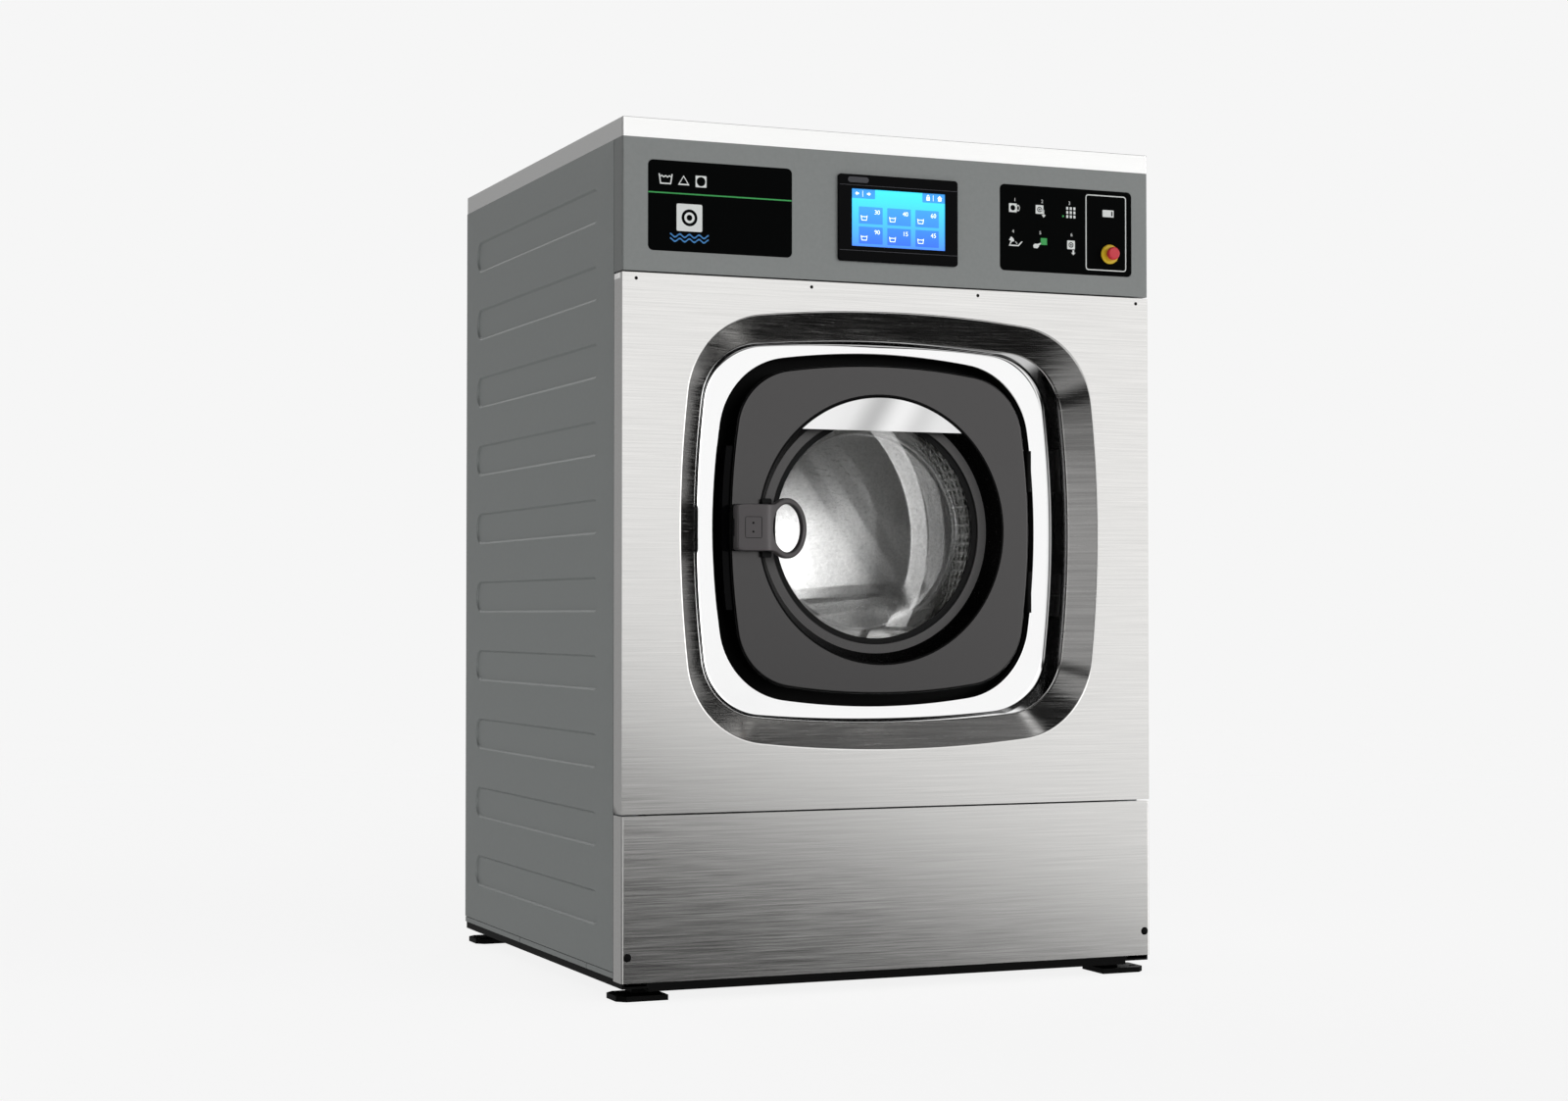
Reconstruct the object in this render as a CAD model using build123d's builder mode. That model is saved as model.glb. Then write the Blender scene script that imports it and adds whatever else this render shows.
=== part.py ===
from build123d import *
import os
from math import atan2, cos, degrees, hypot, radians, sin, sqrt

os.makedirs("parts", exist_ok=True)

# A front-loading, soft-mounted washer-extractor. Lengths are in millimetres and angles in degrees.
# The origin is on the floor, midway between the four anchor holes. The front faces -Y and +Z is up.
# A depth is counted from the front plane into the machine.

# Cabinet
width = 870.0
depth = 820.0
lower_panel_height = 242.0
fascia_height = 194.5
worktop_thickness = 28.5
foot_height = 28.0
sheet = 2.0
panel_gap = 2.5
return_depth = 36.0
corner_round = 3.0
side_panel_lift = 12.5
cut_over = 5.0
seat_gap = 0.3
running_gap = 0.05

# Side panel ribs
rib_count = 10
rib_height = 53.5
rib_start = 102.0
rib_end = 62.0
lowest_rib = 97.3
highest_rib_drop = 84.7
rib_press = 3.0

# Base, posts and feet
rail_drop = 8.0
front_rail_drop = 13.0
rail_height = 60.0
rail_width = 40.0
rail_wall = 3.0
post_width = 36.0
post_wall = 3.0
skirt_height = 8.0
skirt_seam = 1.0
skirt_slit = 3.0
skirt_first_slit = 160.0
skirt_panel_length = 339.0
plate_width = 76.0
plate_length = 66.0
plate_thickness = 8.0
plate_front = 12.0
plate_chamfer = 12.0
anchor_radius = 6.0
anchor_side_edge = 13.0
anchor_end_edge = 20.0
leg_width = 28.0

# Fascia parts
inset_step = 1.5
label_size = (226.5, 132.4)
label_edge = 152.2
label_lift = 96.8
label_round = 8.0
bezel_size = (198.0, 130.5)
bezel_side = 3.0
bezel_lift = 95.8
bezel_round = 5.0
bezel_proud = 5.0
screen_size = (156.0, 87.0)
screen_lift = 96.5
guide_size = (231.0, 133.0)
guide_edge = 144.0
guide_lift = 96.5
port_size = (19.6, 11.0)
port_edge = 70.2
port_lift = 127.5
stop_edge = 67.8
stop_lift = 64.0
collar_radius = 15.0
collar_height = 3.5
stem_radius = 5.5
stem_length = 38.0
head_radius = 10.0
head_height = 8.5
head_gap = 4.6
control_box_depth = 82.0
control_box_side = 30.0

# Panel fasteners
panel_screw_radius = 2.6
panel_screw_edge = 21.2
panel_screw_shares = (-1, -1 / 3, 1 / 3, 1)
panel_screw_drop = 11.0
plug_radius = 5.8
plug_inset = 9.0
plug_height = 37.0
fastener_proud = 1.2
screw_shank = 8.0

# Door recess in the front panel: half width, half height, side, top and corner radii of each outline
recess_drop = 3.0
recess_mouth = (345.0, 327.5, 1780.0, 1960.0, 131.0)
recess_throat = (311.0, 288.5, 1600.0, 2200.0, 98.0)
recess_depth = 35.0
surround_floor = (292.0, 285.0, 1350.0, 1500.0, 112.0)
surround_hole = (268.0, 267.7, 1100.0, 1130.0, 120.5)
surround_depth = 68.0
surround_lip = 12.0

# Door
door_centre_height = 658.5
fascia_over_door = 368.5
door_outline = (249.3, 249.5, 1040.0, 1040.0, 98.0)
door_face_depth = 47.0
door_sheet = 3.0
door_skirt = 29.0
door_edge_round = 3.5
window_radius = 205.5
bezel_back_radius = 188.0
bezel_depth = 23.0
bezel_wall = 2.5
clamp_inner_radius = 173.5
clamp_outer_radius = 190.0
clamp_thickness = 3.0
glass_flange_radius = 186.0
glass_flange_thickness = 5.0
glass_rim_radius = 170.0
glass_end_radius = 157.0
glass_wall_depth = 46.0
glass_dome = 22.0
glass_wall = 5.0
glass_round = 16.0
glass_seal_lip = 3.0
frame_thickness = 7.0
frame_inset = 9.0
frame_rib = 5.0
crescent_gap = 2.5
crescent_height = 150.0
crescent_thickness = 3.0
grip_width = 11.0
grip_length = 244.0
grip_depth = 20.0
grip_setback = 6.0

# Door handle
handle_left = 249.0
handle_width = 51.0
handle_height = 69.5
handle_face_depth = 18.0
handle_round = 4.0
handle_base_thickness = 8.0
handle_pin_radius = 2.5
handle_pin_margin = 6.5
handle_lug_height = 26.0
finger_ring_outer = 45.5
finger_ring_inner = 36.0
finger_ring_thickness = 9.0
finger_ring_centre = 158.0
finger_ring_depth = 40.0
finger_ring_tilt = 29.4
cover_size = (27.0, 32.0)
cover_recess = 0.8
handle_screw_radius = 1.6
handle_screw_spacing = 13.0
latch_box_size = (15.0, 88.0)
catch_size = (14.0, 40.0)
catch_length = 9.5
lock_play = 3.0
lock_wall = 10.0

# Hinge
hinge_side = 253.5
hinge_depth = 58.0
barrel_radius = 5.2
hinge_pin_radius = 3.0
door_barrel = (62.0, 95.0)
tub_barrel = (95.5, 126.0)
hinge_arm_width = 7.5
hinge_foot = 34.0

# Tub
tub_radius = 372.0
tub_wall = 4.0
tub_front_depth = 102.0
tub_back_depth = 556.0
tub_plate = 8.0
tub_travel_down = 10.0
mouth_radius = 178.0
tub_rim = 10.0
gasket_radius = 201.0
gasket_lip = 4.0
back_rib_count = 8
back_rib_width = 8.0
back_rib_height = 26.0

# Drum
drum_gap = 42.0
drum_wall = 3.0
drum_front_depth = 114.0
drum_end_gap = 56.0
drum_mouth_radius = 188.0
drum_lip = 8.0
drum_back_dish = 14.0
lifter_count = 3
lifter_turn = 78.0
lifter_width = 150.0
lifter_height = 100.0
lifter_crown = 26.0
lifter_length = 350.0
lifter_wall = 2.5
shaft_radius = 32.0
shaft_end_radius = 24.0
spider_hub_radius = 62.0
spider_arm_width = 46.0
spider_thickness = 22.0

# Bearings and drive
housing_radius = 118.0
housing_neck_radius = 66.0
housing_flange = 14.0
housing_length = 86.0
housing_rib_count = 6
housing_rib_width = 10.0
bearing_width = 22.0
bearing_wall = 24.0
drum_pulley_radius = 150.0
pulley_width = 30.0
pulley_rim = 14.0
pulley_hub_radius = 42.0
pulley_web = 8.0
pulley_window_count = 5
pulley_window_radius = 27.0
belt_thickness = 5.0
belt_width = 24.0
motor_pulley_radius = 45.0
motor_radius = 84.0
motor_length = 250.0
motor_side = 150.0
motor_under_tub = 110.0
motor_shaft_radius = 14.0
motor_fin_count = 16
motor_fin_height = 6.0
motor_fin_width = 5.0

# Cradle, suspension and counterweight
cradle_depths = (175.0, 470.0)
cradle_thickness = 30.0
cradle_rise = 137.0
cradle_foot_drop = 9.5
cradle_foot_width = 70.0
cradle_web = 18.0
strut_inset = 34.0
damper_radius = 20.0
damper_rod_radius = 7.0
damper_length = 100.0
rod_overlap = 34.0
spring_seat_radius = 35.0
spring_seat = 5.0
spring_inner_radius = 24.0
spring_outer_radius = 33.0
weight_thickness = 52.0
weight_half_angle = 24.0
weight_start = 165.0
weight_length = 300.0

# Dispenser in the worktop
dispenser_edge = 220.0
dispenser_setback = 300.0
dispenser_size = (230.0, 170.0)
dispenser_depth = 95.0
dispenser_wall = 2.5
dispenser_flange = 12.0
dispenser_outlet_radius = 20.0
lid_thickness = 16.0
lid_margin = 8.0
lid_hinge_radius = 3.0
lid_grip = 14.0

# Water, drain and cable entries at the back
inlet_radius = 13.2
inlet_length = 18.0
inlet_pitch = 80.0
inlet_side = 120.0
inlet_drop = 41.5
valve_body = (46.0, 70.0, 42.0)
drain_side = -150.0
drain_depth = 360.0
drain_radius = 38.0
drain_wall = 3.0
drain_spigot_length = 45.0
drain_stub = 30.0
fill_stub = 26.0
fill_pipe_radius = 10.0
fill_pipe_bend = 30.0
fill_pipe_depth = 700.0
valve_size = (120.0, 130.0, 84.0)
bellows_ribs = 3
bellows_rib_depth = 6.0
gland_edge = 105.0
gland_drop = 91.5
gland_radius = 8.0
gland_nut_radius = 15.0
gland_length = 26.0
louvre_count = 6
louvre_width = 220.0
louvre_height = 7.0
louvre_pitch = 24.0
louvre_drop = 269.5

# Worked-out places
half_width = width / 2
front_y = -depth / 2
back_y = depth / 2
base_z = foot_height
door_z = base_z + door_centre_height
recess_z = door_z - recess_drop
door_panel_z = base_z + lower_panel_height
fascia_z = door_z + fascia_over_door
door_panel_height = fascia_z - door_panel_z
worktop_z = fascia_z + fascia_height
top_z = worktop_z + worktop_thickness
panel_screw_z = fascia_z - panel_screw_drop
panel_screw_places = [share * (half_width - panel_screw_edge) for share in panel_screw_shares]
label_place = (label_edge - half_width, fascia_z + label_lift)
bezel_place = (bezel_side, fascia_z + bezel_lift)
screen_place = (bezel_side, fascia_z + screen_lift)
guide_place = (half_width - guide_edge, fascia_z + guide_lift)
port_place = (half_width - port_edge, fascia_z + port_lift)
stop_place = (half_width - stop_edge, fascia_z + stop_lift)
rail_bottom_z = base_z - rail_drop
rail_top_z = rail_bottom_z + rail_height
side_panel_z = base_z + side_panel_lift
rib_pitch = (worktop_z - highest_rib_drop - base_z - lowest_rib) / (rib_count - 1)
inner_side = half_width - sheet
inner_back_y = back_y - sheet
door_back_depth = door_face_depth + door_sheet + bezel_depth
glass_depth = door_back_depth + clamp_thickness + glass_seal_lip
frame_depth = glass_depth + glass_flange_thickness
frame_back_depth = frame_depth + frame_thickness
tub_floor_z = door_z - tub_radius
motor_z = tub_floor_z - motor_under_tub
drum_radius = tub_radius - drum_gap
drum_back_depth = tub_back_depth - drum_end_gap
cradle_half_width = tub_radius
strut_side = cradle_half_width - strut_inset
dispenser_x = dispenser_edge - half_width
dispenser_y = front_y + dispenser_setback
drain_z = rail_top_z + valve_size[2] / 2
drain_stub_z = tub_floor_z - drain_stub
fill_stub_z = door_z + tub_radius - fill_stub
shaft_front_depth = drum_back_depth + drum_wall - drum_back_dish
housing_depth = tub_back_depth
housing_back_depth = housing_depth + housing_flange + housing_length
pulley_depth = housing_back_depth + spider_thickness
pulley_middle_depth = pulley_depth + pulley_width / 2


def facing(depth_in, x=0, z=0):
    """A plane across the machine at a depth, seen from the front: x is right and y is up."""
    return Plane(origin=(x, front_y + depth_in, z), x_dir=(1, 0, 0), z_dir=(0, -1, 0))


def turning(z):
    """The plane of a profile to be turned about the axis at height z: x is depth and y is radius."""
    return Plane(origin=(0, front_y, z), x_dir=(0, 1, 0), z_dir=(1, 0, 0))


def turning_axis(z, x=0):
    """A line from front to back at height z."""
    return Axis((x, front_y, z), (0, 1, 0))


def squircle(outline, grow=0):
    """A rounded square of eight tangent arcs, with gently bowed sides, made larger by grow all round."""
    half_across, half_up, side_radius, top_radius, corner_radius = [size + grow for size in outline]
    side_x = half_across - side_radius
    top_y = half_up - top_radius
    side_reach = side_radius - corner_radius
    top_reach = top_radius - corner_radius
    span = hypot(side_x, top_y)
    along = (side_reach**2 - top_reach**2 + span**2) / (2 * span)
    across = sqrt(side_reach**2 - along**2)
    corner_x = side_x - side_x / span * along - top_y / span * across
    corner_y = top_y / span * along - side_x / span * across
    side_turn = degrees(atan2(corner_y, corner_x - side_x))
    top_turn = degrees(atan2(corner_y - top_y, corner_x))
    with BuildSketch(mode=Mode.PRIVATE) as shape:
        with BuildLine():
            CenterArc((side_x, 0), side_radius, 0, side_turn)
            CenterArc((corner_x, corner_y), corner_radius, side_turn, top_turn - side_turn)
            CenterArc((0, top_y), top_radius, top_turn, 90 - top_turn)
            mirror(about=Plane.YZ)
            mirror(about=Plane.XZ)
        make_face()
    return shape.sketch


def save(part, label):
    """Labels a finished piece and writes it under its own name."""
    part.label = label
    export_step(part, f"parts/{label}.step")


def tray(panel_z, height):
    """A sheet panel across the front, folded back on all four sides."""
    with BuildPart(mode=Mode.PRIVATE) as panel:
        with BuildSketch(Plane.XY.offset(panel_z)):
            with Locations((0, front_y + return_depth / 2)):
                Rectangle(width, return_depth)
        extrude(amount=height)
        fillet(panel.edges().filter_by(Axis.Z).group_by(Axis.Y)[0], corner_round)
        offset(amount=-sheet, openings=panel.faces().sort_by(Axis.Y)[-1], kind=Kind.INTERSECTION)
    return panel.part


# Lower panel: a folded steel tray under the door panel, open below where it stands on the rail
with BuildPart() as lower_panel:
    add(tray(base_z, lower_panel_height - panel_gap))
    with BuildSketch(Plane.XY.offset(base_z)):
        with Locations((0, front_y + sheet + return_depth / 2)):
            Rectangle(width - 2 * sheet, return_depth)
    extrude(amount=sheet, mode=Mode.SUBTRACT)
    with BuildSketch(facing(-cut_over, z=base_z + plug_height)):
        with Locations((half_width - plug_inset, 0), (plug_inset - half_width, 0)):
            Circle(plug_radius + seat_gap)
    extrude(amount=-(cut_over + sheet + cut_over), mode=Mode.SUBTRACT)
save(lower_panel.part, "lower_panel")

# Door panel: the same tray with a deep funnel pressed round the door
with BuildPart() as front_panel:
    add(tray(door_panel_z, door_panel_height - panel_gap))
    with BuildSketch(facing(0, z=recess_z)):
        add(squircle(recess_mouth))
    extrude(amount=-(sheet + cut_over), mode=Mode.SUBTRACT)
    with BuildSketch(facing(0, z=recess_z)):
        add(squircle(recess_mouth, sheet))
    with BuildSketch(facing(recess_depth, z=recess_z)):
        add(squircle(recess_throat, sheet))
    loft(ruled=True)
    with BuildSketch(facing(0, z=recess_z)):
        add(squircle(recess_mouth))
    with BuildSketch(facing(recess_depth, z=recess_z)):
        add(squircle(recess_throat))
    loft(ruled=True, mode=Mode.SUBTRACT)
    with BuildSketch(facing(-cut_over, z=panel_screw_z)):
        with Locations(*[(place, 0) for place in panel_screw_places]):
            Circle(panel_screw_radius + seat_gap)
    extrude(amount=-(cut_over + sheet + cut_over), mode=Mode.SUBTRACT)
save(front_panel.part, "front_panel")

# Door surround: the polished ring that steps from the recess down to the door gap
with BuildPart() as door_surround:
    with BuildSketch(facing(recess_depth, z=recess_z)):
        add(squircle(recess_throat, sheet))
    with BuildSketch(facing(surround_depth + sheet, z=door_z)):
        add(squircle(surround_floor, sheet))
    loft(ruled=True)
    with BuildSketch(facing(recess_depth, z=recess_z)):
        add(squircle(recess_throat))
    with BuildSketch(facing(surround_depth, z=door_z)):
        add(squircle(surround_floor))
    loft(ruled=True, mode=Mode.SUBTRACT)
    with BuildSketch(facing(surround_depth, z=door_z)):
        add(squircle(surround_hole, sheet))
    extrude(amount=-surround_lip)
    with BuildSketch(facing(surround_depth - cut_over, z=door_z)):
        add(squircle(surround_hole))
    extrude(amount=-(cut_over + surround_lip + cut_over), mode=Mode.SUBTRACT)
save(door_surround.part, "door_surround")

# Control fascia: tray with shallow seats for the three plates
with BuildPart() as control_fascia:
    add(tray(fascia_z, fascia_height))
    for centre, size, round_radius in (
        (label_place, label_size, label_round),
        (bezel_place, bezel_size, bezel_round),
        (guide_place, guide_size, label_round),
    ):
        with BuildSketch(facing(0, *centre)):
            RectangleRounded(*size, round_radius)
        extrude(amount=-inset_step, mode=Mode.SUBTRACT)
    with BuildSketch(facing(0, *screen_place)):
        Rectangle(*screen_size)
    extrude(amount=-(sheet + cut_over), mode=Mode.SUBTRACT)
    with BuildSketch(facing(0, *stop_place)):
        Circle(stem_radius + seat_gap)
    extrude(amount=-(sheet + cut_over), mode=Mode.SUBTRACT)
save(control_fascia.part, "control_fascia")

# Worktop: folded lid over the whole cabinet with the dispenser cut-out
with BuildPart() as worktop:
    with BuildSketch(Plane.XY.offset(worktop_z)):
        Rectangle(width, depth)
    extrude(amount=worktop_thickness)
    fillet(worktop.edges().filter_by(Axis.Z), corner_round)
    offset(amount=-sheet, openings=worktop.faces().sort_by(Axis.Z)[0], kind=Kind.INTERSECTION)
    fillet(worktop.faces().sort_by(Axis.Z)[-1].outer_wire().edges(), sheet / 2)
    with BuildSketch(Plane.XY.offset(top_z + cut_over)):
        with Locations((dispenser_x, dispenser_y)):
            Rectangle(*[size + 2 * seat_gap for size in dispenser_size])
    extrude(amount=-(cut_over + worktop_thickness), mode=Mode.SUBTRACT)
save(worktop.part, "worktop")


def side_panel(side):
    """A side sheet with folded edges and a row of long pressed ribs; side is -1 left, 1 right."""
    length = depth - return_depth - panel_gap - sheet
    rib_length = depth - rib_start - rib_end
    height = worktop_z - side_panel_z
    middle_y = front_y + return_depth + panel_gap + length / 2
    corner = (side * half_width, middle_y, side_panel_z)
    outside = Plane(origin=corner, x_dir=(0, side, 0), z_dir=(side, 0, 0))
    rib_x = side * (front_y + rib_start + rib_length / 2 - middle_y)
    rib_places = [(rib_x, lowest_rib - side_panel_lift + number * rib_pitch) for number in range(rib_count)]
    with BuildPart(mode=Mode.PRIVATE) as panel:
        with BuildSketch(outside):
            with Locations((0, height / 2)):
                Rectangle(length, height)
        extrude(amount=-sheet)
        with BuildSketch(outside):
            with Locations(*rib_places):
                SlotOverall(rib_length, rib_height)
        extrude(amount=-(sheet + rib_press))
        with BuildSketch(outside):
            with Locations(*rib_places):
                SlotOverall(rib_length - sheet, rib_height - sheet)
        extrude(amount=-rib_press, mode=Mode.SUBTRACT)
    return panel.part


# Side panels, one for each side
with BuildPart() as left_side_panel:
    add(side_panel(-1))
save(left_side_panel.part, "left_side_panel")

with BuildPart() as right_side_panel:
    add(side_panel(1))
save(right_side_panel.part, "right_side_panel")

# Rear panel with louvres and the openings for water, drain and cable
rear_height = worktop_z - side_panel_z
gland_side = gland_edge - half_width
gland_z = worktop_z - gland_drop
louvre_top = worktop_z - louvre_drop
inlet_z = worktop_z - inlet_drop
inlet_places = [(inlet_side + number * inlet_pitch, inlet_z) for number in range(2)]
with BuildPart() as rear_panel:
    with BuildSketch(facing(depth, z=side_panel_z)):
        with Locations((0, rear_height / 2)):
            Rectangle(width, rear_height)
    extrude(amount=sheet)
    with BuildSketch(facing(depth)):
        with Locations(*inlet_places):
            Circle(inlet_radius + drain_wall + seat_gap)
        with Locations((drain_side, drain_z)):
            Circle(drain_radius + drain_wall + seat_gap)
        with Locations((gland_side, gland_z)):
            Circle(gland_nut_radius - sheet)
        with Locations(*[(0, louvre_top - number * louvre_pitch) for number in range(louvre_count)]):
            SlotOverall(louvre_width, louvre_height)
    extrude(amount=sheet, mode=Mode.SUBTRACT)
save(rear_panel.part, "rear_panel")

# Base rails: box-section bars under the cabinet, with a deeper bar along the front
rail_x = inner_side - rail_width / 2
rail_run = depth - 2 * sheet
cross_run = 2 * inner_side - 2 * rail_width
cross_bars = (
    (front_y + sheet + rail_width / 2, base_z - front_rail_drop),
    (front_y + drain_depth, rail_bottom_z),
    (inner_back_y - rail_width / 2, rail_bottom_z),
)
with BuildPart() as base_rails:
    for side in (-1, 1):
        with BuildSketch(facing(sheet, side * rail_x, rail_bottom_z + rail_height / 2)):
            Rectangle(rail_width, rail_height)
            Rectangle(rail_width - 2 * rail_wall, rail_height - 2 * rail_wall, mode=Mode.SUBTRACT)
        extrude(amount=-rail_run)
    for bar_y, bar_z in cross_bars:
        bar_height = rail_top_z - bar_z
        bar_start = (-cross_run / 2, bar_y, bar_z + bar_height / 2)
        bar_end = Plane(origin=bar_start, x_dir=(0, 1, 0), z_dir=(1, 0, 0))
        with BuildSketch(bar_end):
            Rectangle(rail_width, bar_height)
            Rectangle(rail_width - 2 * rail_wall, bar_height - 2 * rail_wall, mode=Mode.SUBTRACT)
        extrude(amount=cross_run)
    rail_corners = base_rails.edges().filter_by(Axis.Z).group_by(Axis.Y)[0]
    chamfer([rail_corners.sort_by(Axis.X)[0], rail_corners.sort_by(Axis.X)[-1]], sheet / 2)
save(base_rails.part, "base_rails")

# Foot plates: chamfered pads with one anchor hole each, and the block that carries the rail
anchor_x = half_width - anchor_side_edge
anchor_y = depth / 2 - plate_front - anchor_end_edge
plate_x = half_width - plate_width / 2
plate_y = depth / 2 - plate_front - plate_length / 2
with BuildPart() as foot_plates:
    for side_x in (-1, 1):
        for side_y in (-1, 1):
            with BuildSketch():
                with Locations((side_x * plate_x, side_y * plate_y)):
                    pad = Rectangle(plate_width, plate_length)
                outer_corners = pad.vertices().group_by(Axis.X)[-1 if side_x > 0 else 0]
                chamfer(outer_corners, plate_chamfer)
                with Locations((side_x * anchor_x, side_y * anchor_y)):
                    Circle(anchor_radius, mode=Mode.SUBTRACT)
            extrude(amount=plate_thickness)
            with BuildSketch(Plane.XY.offset(plate_thickness)):
                with Locations((side_x * (plate_x - leg_width / 4), side_y * (plate_y - leg_width / 2))):
                    Rectangle(leg_width, leg_width)
            extrude(amount=rail_bottom_z - plate_thickness)
save(foot_plates.part, "foot_plates")

# Frame posts: angle sections in the four corners, tied by two rails under the worktop
post_x = inner_side - post_width / 2
post_ends = (front_y + return_depth + post_width / 2, inner_back_y - post_width / 2)
post_height = worktop_z - rail_top_z
tie_run = post_ends[1] - post_ends[0] - post_width
with BuildPart() as frame_posts:
    for side in (-1, 1):
        for end_y, inward in zip(post_ends, (1, -1)):
            with BuildSketch(Plane.XY.offset(rail_top_z)):
                with Locations((side * post_x, end_y)):
                    Rectangle(post_width, post_width)
                with Locations((side * (post_x - post_wall), end_y + inward * post_wall)):
                    Rectangle(post_width, post_width, mode=Mode.SUBTRACT)
            extrude(amount=post_height)
        with BuildSketch(Plane.XY.offset(worktop_z - post_width)):
            with Locations((side * (inner_side - post_wall / 2), (post_ends[0] + post_ends[1]) / 2)):
                Rectangle(post_wall, tie_run)
        extrude(amount=post_width)
save(frame_posts.part, "frame_posts")

# Side skirts: the strips under the side panels, slit into short covers
skirt_top_z = side_panel_z - skirt_seam
skirt_run = depth - return_depth - panel_gap - sheet
with BuildPart() as side_skirts:
    for side in (-1, 1):
        with BuildSketch(facing(return_depth + panel_gap, side * (half_width - sheet / 2), skirt_top_z)):
            with Locations((0, -skirt_height / 2)):
                Rectangle(sheet, skirt_height)
        extrude(amount=-skirt_run)
        for number in range(2):
            slit_y = front_y + skirt_first_slit + number * skirt_panel_length
            with BuildSketch(Plane.XY.offset(skirt_top_z - skirt_height)):
                with Locations((side * half_width, slit_y)):
                    Rectangle(2 * sheet, skirt_slit)
            extrude(amount=skirt_height, mode=Mode.SUBTRACT)
save(side_skirts.part, "side_skirts")

# Label plate: a bare black plate
with BuildPart() as label_plate:
    with BuildSketch(facing(inset_step, *label_place)):
        RectangleRounded(*[size - 2 * seat_gap for size in label_size], label_round)
    extrude(amount=inset_step)
save(label_plate.part, "label_plate")

# Display bezel: raised frame round the screen
with BuildPart() as display_bezel:
    with BuildSketch(facing(inset_step, *bezel_place)):
        RectangleRounded(*[size - 2 * seat_gap for size in bezel_size], bezel_round)
    extrude(amount=inset_step + bezel_proud)
    fillet(display_bezel.faces().sort_by(Axis.Y)[0].edges(), sheet)
    with BuildSketch(facing(-bezel_proud, *screen_place)):
        Rectangle(*screen_size)
    extrude(amount=-(bezel_proud + inset_step), mode=Mode.SUBTRACT)
save(display_bezel.part, "display_bezel")

# Display screen: the touch glass, set back in the bezel, with its module behind the fascia
with BuildPart() as display_screen:
    with BuildSketch(facing(return_depth, *screen_place)):
        Rectangle(*[size - 2 * seat_gap for size in screen_size])
    extrude(amount=return_depth + bezel_proud - inset_step)
save(display_screen.part, "display_screen")

# Guide plate: black plate with a window for the port and a hole for the stop button
with BuildPart() as guide_plate:
    with BuildSketch(facing(inset_step, *guide_place)):
        RectangleRounded(*[size - 2 * seat_gap for size in guide_size], label_round)
    extrude(amount=inset_step)
    with BuildSketch(facing(0, *port_place)):
        RectangleRounded(*port_size, corner_round / 2)
    extrude(amount=-inset_step / 2, mode=Mode.SUBTRACT)
    with BuildSketch(facing(-cut_over, *stop_place)):
        Circle(stem_radius + seat_gap)
    extrude(amount=-(cut_over + inset_step), mode=Mode.SUBTRACT)
save(guide_plate.part, "guide_plate")

# Stop collar: yellow ring that guides the stem
with BuildPart() as stop_collar:
    with BuildSketch(facing(0, *stop_place)):
        Circle(collar_radius)
        Circle(stem_radius + seat_gap, mode=Mode.SUBTRACT)
    extrude(amount=collar_height)
    chamfer(stop_collar.faces().sort_by(Axis.Y)[0].outer_wire().edges(), collar_height / 3)
save(stop_collar.part, "stop_collar")

# Stop stem: slides through the collar, and the head turns on its nose
stem_nose = head_height / 2
with BuildPart() as stop_stem:
    with BuildSketch(facing(-(collar_height + head_gap), *stop_place)):
        Circle(stem_radius)
    extrude(amount=-stem_length)
    with BuildSketch(facing(-(collar_height + head_gap), *stop_place)):
        Circle(stem_radius / 2)
    extrude(amount=stem_nose)
save(stop_stem.part, "stop_stem")

# Stop head: the red mushroom
with BuildPart() as stop_head:
    with BuildSketch(facing(-(collar_height + head_gap), *stop_place)):
        Circle(head_radius)
    extrude(amount=head_height)
    fillet(stop_head.faces().sort_by(Axis.Y)[0].edges(), head_height / 3)
    fillet(stop_head.faces().sort_by(Axis.Y)[-1].edges(), head_height / 6)
    with BuildSketch(facing(-(collar_height + head_gap), *stop_place)):
        Circle(stem_radius / 2 + running_gap)
    extrude(amount=stem_nose + running_gap, mode=Mode.SUBTRACT)
save(stop_head.part, "stop_head")

# Panel fasteners: four screws along the top of the door panel and two plugs low on the corners
with BuildPart() as panel_fasteners:
    with BuildSketch(facing(-fastener_proud, z=panel_screw_z)):
        with Locations(*[(place, 0) for place in panel_screw_places]):
            Circle(panel_screw_radius)
    extrude(amount=-(fastener_proud + screw_shank))
    with BuildSketch(facing(-fastener_proud, z=base_z + plug_height)):
        with Locations((half_width - plug_inset, 0), (plug_inset - half_width, 0)):
            Circle(plug_radius)
    extrude(amount=-(fastener_proud + sheet))
save(panel_fasteners.part, "panel_fasteners")

# Control box behind the fascia
control_box_width = guide_size[0] + screen_size[0]
with BuildPart() as control_box:
    with BuildSketch(facing(return_depth + post_width, bezel_place[0], fascia_z + fascia_height / 2)):
        Rectangle(control_box_width, fascia_height - 2 * control_box_side)
    extrude(amount=-control_box_depth)
    fillet(control_box.edges().filter_by(Axis.Y), corner_round)
    with BuildSketch(facing(return_depth, bezel_place[0], fascia_z + fascia_height / 2)):
        Rectangle(screen_size[0] / 2, screen_size[1] / 2)
    extrude(amount=-post_width)
save(control_box.part, "control_box")

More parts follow.
